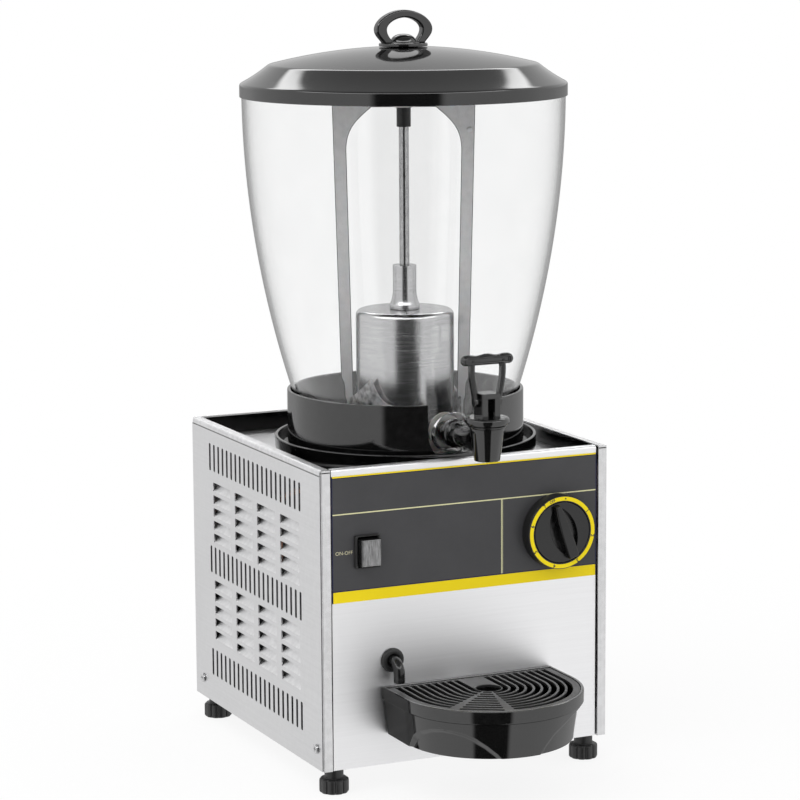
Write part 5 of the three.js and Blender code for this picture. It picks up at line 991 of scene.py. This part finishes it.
def knobShape():
    wide, long = knob["hollowHalf"]
    radius = (long ** 2 + wide ** 2) / (2 * wide)
    reach = math.asin(long / radius)
    turn = np.linspace(-reach, reach, 40)[1:]
    arc = np.column_stack([radius * np.cos(turn) - (radius - wide), radius * np.sin(turn)])
    lower = turned(rounded([(3.3, 0), (28.7, 0), (29.1, 1), (29.1, 6), (3.3, 6), (3.3, 5)],
                           (0, 0.4, 0.4, 0, 0, 0), 3), 0, 0, 96)
    lower[0][:, 2] *= knob["hollow"] / 6
    hollow = np.vstack([arc, -arc]) + (knob["aside"], 0)
    upper = moved(plate(circle(knob["radius"], 128), [hollow], knob["face"] - knob["hollow"] + 0.6, 0.7, 4),
                  0, 0, (knob["face"] + knob["hollow"] - 0.6) / 2)
    side = bezier((2.6, 27.6), (4.6, 18), (5.6, 4), (5.7, -22), 18)
    outline = np.vstack([side, (side * (-1, 1))[::-1]])
    outline = rounded(outline, [2.4] + [0] * 17 + [5, 5] + [0] * 17 + [2.4], 6)
    outline[:, 1] -= np.clip(-outline[:, 1] - 17, 0, 5) * 0.9
    height = knob["grip"] - knob["hollow"] + 1
    grip = moved(plate(outline, [], height, 1.5, 5), knob["aside"], 0, knob["grip"] - height / 2)
    places, faces = together(lower, upper, grip)
    places = spun(places, math.radians(dial["off"]))
    return np.column_stack([places[:, 0] + dial["x"], dial["y"] - dial["base"] - 0.3 - places[:, 2],
                            places[:, 1] + dial["z"]]), faces


piece("knob_grip", knobShape(), satinBlack, "knob", ["thermostat_knob"], 34)

grommetLine = rounded([(5.9, 0), (8, 0), (8, 5.0), (11.5, 5.0), (11.5, 6.6), (9.8, 8.3), (7.2, 8.3), (5.9, 7.4)],
                      (0.3, 0.3, 0.2, 0.4, 1, 1.5, 0.8, 0.6), 4)
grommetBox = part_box("drain_grommet")
sealShape = turnedForwards(grommetLine, cabinetSize["drainX"], (grommetBox[1].y - front) * 1000,
                           cabinetSize["drainZ"], 64)
piece("drain_seal", sealShape, rubber, "cabinet", ["drain_grommet"], 34)


# The drain pipe: down from the deck, out through the panel and down again.
def drainShape():
    bend, pipe, inY, outY, end = 11, 5.3, 24, -14, 106
    x, level = cabinetSize["drainX"], cabinetSize["drainZ"]
    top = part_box("drain_elbow")[1].z * 1000
    turn = np.linspace(0, math.pi / 2, 9)
    first = [(inY - bend + bend * math.cos(a), level + bend - bend * math.sin(a)) for a in turn]
    second = [(outY + bend - bend * math.sin(a), level - bend + bend * math.cos(a)) for a in turn]
    path = np.array([(x, inY, top)] + [(x, y, z) for y, z in first + second] + [(x, outY, end + 0.4), (x, outY, end)])
    outer = swept(path, circle(pipe, 32), (1, 0, 0))
    lip = turned(rounded([(3.4, 0), (pipe, 0), (pipe, 5), (3.4, 5)], (0.3, 0.6, 0, 0), 3), x, outY, 32)
    return together(outer, moved(lip, 0, 0, end))


piece("drain_pipe", drainShape(), satinBlack, "cabinet", ["drain_elbow"], 40)
print("front details made")


tray = {"half": 89.4, "back": -0.1, "centre": -44.6, "bottom": 53, "band": 88.2, "step": 1.9, "draft": 4, "wall": 3,
        "ledge": 3.4, "ledgeZ": 95.9, "floor": 59, "archDepth": 3.0, "archSlope": 4.6}
tray["leftArch"] = np.array([(-181, 44), (-177.5, 53.1), (-174.2, 59.6), (-170.2, 67.1), (-163.9, 73.2),
                             (-154.4, 78.2), (-146, 79.9), (-138.4, 79.4), (-131.2, 77.3), (-124.2, 73),
                             (-117.4, 66.7), (-110.6, 58.6), (-107.6, 53.8), (-103, 46)])
tray["rightArch"] = np.array([(-86, 44), (-79.3, 57.1), (-76.5, 63), (-70.5, 71.9), (-63.7, 77.1), (-53.6, 83.2),
                              (-42, 85.6), (-33, 85), (-22, 81), (-10, 72), (-3, 60), (4, 44)])


# The tray: closed rows round a plan that is straight at the back and a half circle in front. Under the rim
# band the wall is set back inside two arches, by a smooth step that starts at each arch's line.
def trayShape():
    size = tray
    arc = np.linspace(-math.pi, 0, 300)
    straight = np.linspace(size["back"] - size["centre"], 0, 24)[:-1]
    direction = np.concatenate([np.full(23, -math.pi), arc, np.zeros(23)])
    ahead = np.concatenate([straight, np.zeros(300), straight[::-1]])
    turn = np.degrees(direction) + 0.64 * np.concatenate([-straight, np.zeros(300), straight[::-1]])
    count = len(direction)

    def row(inset, z, shrink=0.0, behind=0.0):
        radius = size["half"] - inset
        scale = 1 - shrink / radius
        x = radius * np.cos(direction) * scale
        y = size["back"] + (size["centre"] + radius * np.sin(direction) + ahead - size["back"]) * scale
        return np.column_stack([x, np.minimum(y, size["back"] - behind), np.broadcast_to(z, count)])

    arch = np.maximum(*(np.interp(turn, line[:, 0], line[:, 1], left=0, right=0)
                        for line in (size["leftArch"], size["rightArch"])))
    slant = np.gradient(arch, np.radians(turn) * size["half"])
    lean = 1 / np.sqrt(1 + slant ** 2)
    rows = [row(size["step"] + size["archDepth"], size["bottom"], size["draft"])]
    for z in np.linspace(size["bottom"] + 0.6, size["band"] - 1.0, 60):
        within = np.clip((arch - z) * lean / size["archSlope"], 0, 1)
        deep = size["archDepth"] * np.clip(within * 1.25, 0, 1) ** 0.9
        draft = size["draft"] * (size["band"] - z) / (size["band"] - size["bottom"])
        rows.append(row(size["step"] + deep, z, draft))
    for inset, z, behind in ((2.4, -0.7, 0), (2.3, -0.2, 0), (0.4, 0.1, 0), (0.0, 0.8, 0), (0.0, 10.6, 0),
                             (0.5, 11.5, 0), (1.1, 11.8, 0), (2.2, 11.8, 2.2), (2.8, 11.4, 2.8), (3.0, 10.6, 3.0)):
        rows.append(row(inset, size["band"] + z, 0, behind))
    inner = size["wall"] + size["ledge"]
    rows += [row(3.0, size["ledgeZ"], 0, 3.0), row(inner, size["ledgeZ"], 0, inner),
             row(inner, size["ledgeZ"] - 0.4, 0, inner), row(inner, size["floor"] + 3.4, size["draft"], inner),
             row(inner + 3, size["floor"] + 3, size["draft"] + 2, inner + 3)]
    under = [row(size["step"] + 7, z, size["draft"]) for z in (size["bottom"] + 0.2, size["floor"])]
    places = np.vstack(under[::-1] + rows)
    faces = gridFaces(len(rows) + 2, count, False, True)
    faces += [list(range(count)), list(range(len(places) - count, len(places)))]
    return places, faces


piece("tray_pan", trayShape(), glossBlack, "tray", ["drip_tray"], 34)


# The grate: curved slits round the hole, and a fan of straight ones towards one side.
def grateShape():
    size = tray
    edge = size["wall"] + 0.3
    half = size["half"] - edge
    back = size["back"] - edge
    arc = np.linspace(-math.pi, 0, 120)
    outline = np.vstack([[(half, back), (-half, back)],
                         np.column_stack([half * np.cos(arc), size["centre"] + half * np.sin(arc)])])
    holes = [circle(12, 64, 0, size["centre"])]
    fan, strip, reachHalf = math.radians(-121), math.radians(22), math.radians(15)
    radius = 15.8
    while radius < half - 3.8:
        r0, r1 = radius - 2.5, radius + 2.5
        for side in (1, -1):
            start, stop = (0.0 if side > 0 else -math.pi), fan + side * strip
            turn = np.linspace(start, stop, 40)
            far = np.column_stack([r1 * np.cos(turn), size["centre"] + r1 * np.sin(turn)])
            near = np.column_stack([r0 * np.cos(turn), size["centre"] + r0 * np.sin(turn)])[::-1]
            line = np.vstack([[(side * r1, back - 3)], far, near, [(side * r0, back - 3)]])
            holes.append(rounded(line, 0.5, 1))
        reach = radius * math.tan(reachHalf)
        box = np.array([(radius - 1.8, -reach), (radius + 1.8, -reach), (radius + 1.8, reach), (radius - 1.8, reach)])
        holes.append(spun(rounded(box, 0.8, 3), fan) + (0, size["centre"]))
        radius += 7.6
    return moved(plate(outline, holes, 3, 0.6, 2), 0, 0, 97.7)


piece("grate_plate", grateShape(), mattBlack, "grate", ["drip_grate"], 34)


# A foot: ten lobes round a knob, a neck and a threaded stud.
def footShape():
    angle = np.linspace(0, tau, 160, endpoint=False)
    lobe = 1.25 * np.abs(np.sin(angle * 5)) ** 0.5 - 1.25
    rows = [(0.0, 0, 0), (12.2, 0, 0.7), (13.2, 0.3, 1), (13.9, 1.2, 1), (14.0, 2, 1), (14.0, 11.5, 1),
            (13.7, 12.9, 1), (12.7, 13.8, 1), (11.6, 14, 0.8), (9.6, 14.2, 0), (9, 14.8, 0), (9, 23.1, 0),
            (8.4, 23.7, 0), (4, 23.7, 0)]
    thread = [(4 - 0.45 * (k % 2), 23.7 + 0.75 * k, 0) for k in range(1, 24)] + [(3.4, 41.6, 0), (0.0, 42, 0)]
    places = []
    for r, z, share in rows + thread:
        radius = r + lobe * share if r else 0 * angle
        places.append(np.column_stack([radius * np.cos(angle), radius * np.sin(angle), np.full(len(angle), z)]))
    return np.vstack(places), gridFaces(len(places), len(angle), False, True)


foot = footShape()
for y, place in ((15, "front"), (313, "rear")):
    for side, word in ((-1, "left"), (1, "right")):
        piece(f"foot_knob_{place}_{word}", moved(foot, side * 133, y, 0), mattBlack, f"foot_{place}_{word}",
              [f"foot_{place}_{word}"], 34)
print("tray and feet made")


kept = {
    "control_label": label, "top_deck": steelDeckShaded, "deck_liner": glossBlack, "base_pan": galvanised,
    "evaporator_coil": copper, "mixer_motor_bracket": galvanised, "mixer_motor": darkSteel,
    "compressor": enamelBlack, "condenser": darkSteel, "fan_shroud": mattBlack, "fan_motor": enamelBlack,
    "fan_blades": mattBlack, "filter_drier": copper, "discharge_line": copper, "suction_line": copper,
    "capillary_line": copper, "thermostat": galvanised, "tray_bracket": galvanised, "tap_washer": silicone,
    "tap_locknut": mattBlack, "tap_stem": darkSteel, "tap_seat_cup": silicone, "bowl_gasket": silicone,
    "lid_handle_screw": darkSteel,
}
for name, finish in kept.items():
    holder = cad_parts[name]
    holder.data.materials.clear()
    holder.data.materials.append(finish)

cameraPlace = Vector((-1.218254, -2.484177 + front, 0.828626))
right, up = Vector((0.907153, -0.420758, -0.006053)), Vector((0.074744, 0.146958, 0.986315))
lookX, lookY, lookZ = 0.414111, 0.895190, -0.164762
ahead = Vector((lookX, lookY, lookZ))
lensData = bpy.data.cameras.new("camera")
lensData.lens = 134.76
lensData.sensor_width = 36
lensData.clip_end = 60
camera = bpy.data.objects.new("camera", lensData)
scene.collection.objects.link(camera)
camera.matrix_world = Matrix((right, up, -ahead)).transposed().to_4x4()
camera.location = cameraPlace
scene.camera = camera

stageSize = {"reach": 14, "floor": (0.97, 0.97, 0.97), "shade": 0.13, "shadeRadius": 0.95, "sky": 0.86}
floorMesh = bpy.data.meshes.new("floor")
reach = stageSize["reach"]
floorCorners = [(-reach, -reach, 0), (reach, -reach, 0), (reach, reach, 0), (-reach, reach, 0)]
floorMesh.from_pydata(floorCorners, [], [(0, 1, 2, 3)])
floor = bpy.data.objects.new("floor", floorMesh)
scene.collection.objects.link(floor)
floorMaterial = bpy.data.materials.new("paleFloor")
floorMaterial.use_nodes = True
floorMesh.materials.append(floorMaterial)
floor.visible_glossy = False


# Two masks: seen by the camera, through clear pieces too, and seen in a reflection, also one inside the bowl.
def viewMasks(tree):
    seen = node(tree, "ShaderNodeLightPath")
    mirrored = worked(tree, "MINIMUM", seen.outputs["Glossy Depth"], 1.0)
    reflected = worked(tree, "MULTIPLY", mirrored, seen.outputs["Is Glossy Ray"])
    direct = worked(tree, "MAXIMUM", seen.outputs["Is Camera Ray"], seen.outputs["Is Transmission Ray"])
    return worked(tree, "MULTIPLY", direct, worked(tree, "SUBTRACT", 1.0, reflected)), reflected


# The floor: white to the camera, but near the object it takes part of its shade from the light.
tree = floorMaterial.node_tree
shader = tree.nodes["Principled BSDF"]
shader.inputs["Base Color"].default_value = (*stageSize["floor"], 1)
shader.inputs["Roughness"].default_value = 0.9
shader.inputs["Specular IOR Level"].default_value = 0.1
place = node(tree, "ShaderNodeTexCoord").outputs["Object"]
far = node(tree, "ShaderNodeVectorMath", {0: place}, operation="LENGTH").outputs["Value"]
white = ranged(tree, far, 1 - stageSize["shade"], 1.0, 0.3, stageSize["shadeRadius"])
clearView, reflected = viewMasks(tree)
glow = node(tree, "ShaderNodeEmission", {"Strength": 1.0}).outputs[0]
glowing = worked(tree, "MULTIPLY", clearView, white)
mix = node(tree, "ShaderNodeMixShader", {0: glowing, 1: shader.outputs[0], 2: glow})
absent = node(tree, "ShaderNodeBsdfTransparent").outputs[0]
mix = node(tree, "ShaderNodeMixShader", {0: reflected, 1: mix.outputs[0], 2: absent})
tree.links.new(mix.outputs[0], tree.nodes["Material Output"].inputs["Surface"])

# One soft lamp: bearing from the camera (to its right), height, distance, size and strength.
softBox = {"turn": -38, "rise": 52, "far": 3.0, "wide": 2.2, "power": 26}
toCamera = math.atan2(-lookY, -lookX)
turn, rise = toCamera + math.radians(softBox["turn"]), math.radians(softBox["rise"])
way = Vector((math.cos(turn) * math.cos(rise), math.sin(turn) * math.cos(rise), math.sin(rise)))
lampData = bpy.data.lights.new("softBox", "AREA")
lampData.size = softBox["wide"]
lampData.energy = softBox["power"]
lamp = bpy.data.objects.new("softBox", lampData)
lamp.location = Vector((0, front + 0.15, 0.35)) + way * softBox["far"]
lamp.rotation_euler = way.to_track_quat("Z", "Y").to_euler()
lamp.visible_glossy = False
scene.collection.objects.link(lamp)

# The world: white to the camera and through clear pieces. Reflections see a studio whose brightness goes by
# bearing (degrees to the camera's right): two bright sides and a dark gap where the camera stands. Overhead
# it is darker in front, and a ring of strip lights runs round between the two.
studio = {
    "low": [(-180, 0.4), (-160, 0.4), (-135, 0.85), (-100, 1.0), (-24, 1.0), (-19, 0.05), (24, 0.05), (29, 1.04),
            (110, 0.95), (135, 0.7), (160, 0.4), (180, 0.4)],
    "level": [(-180, 0.75), (-135, 0.95), (-24, 1.0), (-19, 0.05), (24, 0.05), (29, 1.04), (135, 0.95), (180, 0.75)],
    "high": [(-180, 0.5), (-120, 0.5), (-80, 0.3), (80, 0.3), (120, 0.5), (180, 0.5)],
    "ring": (0.53, 0.57, 0.66, 0.70), "ringLevel": 4.5,
    "ringShare": [(-180, 1.0), (-148, 1.0), (-140, 0.06), (-95, 0.06), (-85, 1.0), (85, 1.0), (95, 0.06), (140, 0.06),
                  (148, 1.0), (180, 1.0)],
}
world = bpy.data.worlds.new("studio")
scene.world = world
world.use_nodes = True
tree = world.node_tree
tree.nodes.clear()
x, y, z = node(tree, "ShaderNodeSeparateXYZ", {0: node(tree, "ShaderNodeTexCoord").outputs["Generated"]}).outputs
along = worked(tree, "MULTIPLY_ADD", x, math.cos(toCamera), worked(tree, "MULTIPLY", y, math.sin(toCamera)))
aside = worked(tree, "MULTIPLY_ADD", x, -math.sin(toCamera), worked(tree, "MULTIPLY", y, math.cos(toCamera)))
bearing = ranged(tree, worked(tree, "ARCTAN2", aside, along), 0.0, 1.0, -math.pi, math.pi)


def byBearing(stops):
    ramp = node(tree, "ShaderNodeValToRGB", {0: bearing})
    places = ramp.color_ramp.elements
    for i, (angle, level) in enumerate(stops):
        stop = places[i] if i < 2 else places.new((angle + 180) / 360)
        stop.position = (angle + 180) / 360
        stop.color = (level, level, level, 1)
    return ramp.outputs[0]


def between(mask, first, second):
    return node(tree, "ShaderNodeMix", {"Factor": mask, 6: first, 7: second}, data_type="RGBA").outputs[2]


mirrored = between(ranged(tree, z, 0.0, 1.0, 0.0, 0.07), byBearing(studio["low"]), byBearing(studio["level"]))
mirrored = between(ranged(tree, z, 0.0, 1.0, 0.5, 0.75), mirrored, byBearing(studio["high"]))
start, full, fall, end = studio["ring"]
ring = worked(tree, "MULTIPLY", ranged(tree, z, 0.0, 1.0, start, full), ranged(tree, z, 1.0, 0.0, fall, end))
ring = worked(tree, "MULTIPLY", ring, byBearing(studio["ringShare"]))
clearView, reflected = viewMasks(tree)
white = (1, 1, 1, 1)
plain = node(tree, "ShaderNodeBackground", {"Strength": 1.0, "Color": white}).outputs[0]
around = node(tree, "ShaderNodeBackground", {"Strength": 1.0, "Color": mirrored}).outputs[0]
strips = node(tree, "ShaderNodeBackground", {"Strength": studio["ringLevel"], "Color": white}).outputs[0]
mirror = node(tree, "ShaderNodeMixShader", {0: ring, 1: around, 2: strips}).outputs[0]
sky = node(tree, "ShaderNodeBackground", {"Strength": stageSize["sky"], "Color": white}).outputs[0]
inner = node(tree, "ShaderNodeMixShader", {0: reflected, 1: sky, 2: mirror}).outputs[0]
outer = node(tree, "ShaderNodeMixShader", {0: clearView, 1: inner, 2: plain}).outputs[0]
node(tree, "ShaderNodeOutputWorld", {"Surface": outer})
scene.view_settings.view_transform = "Standard"
print("camera and light made")
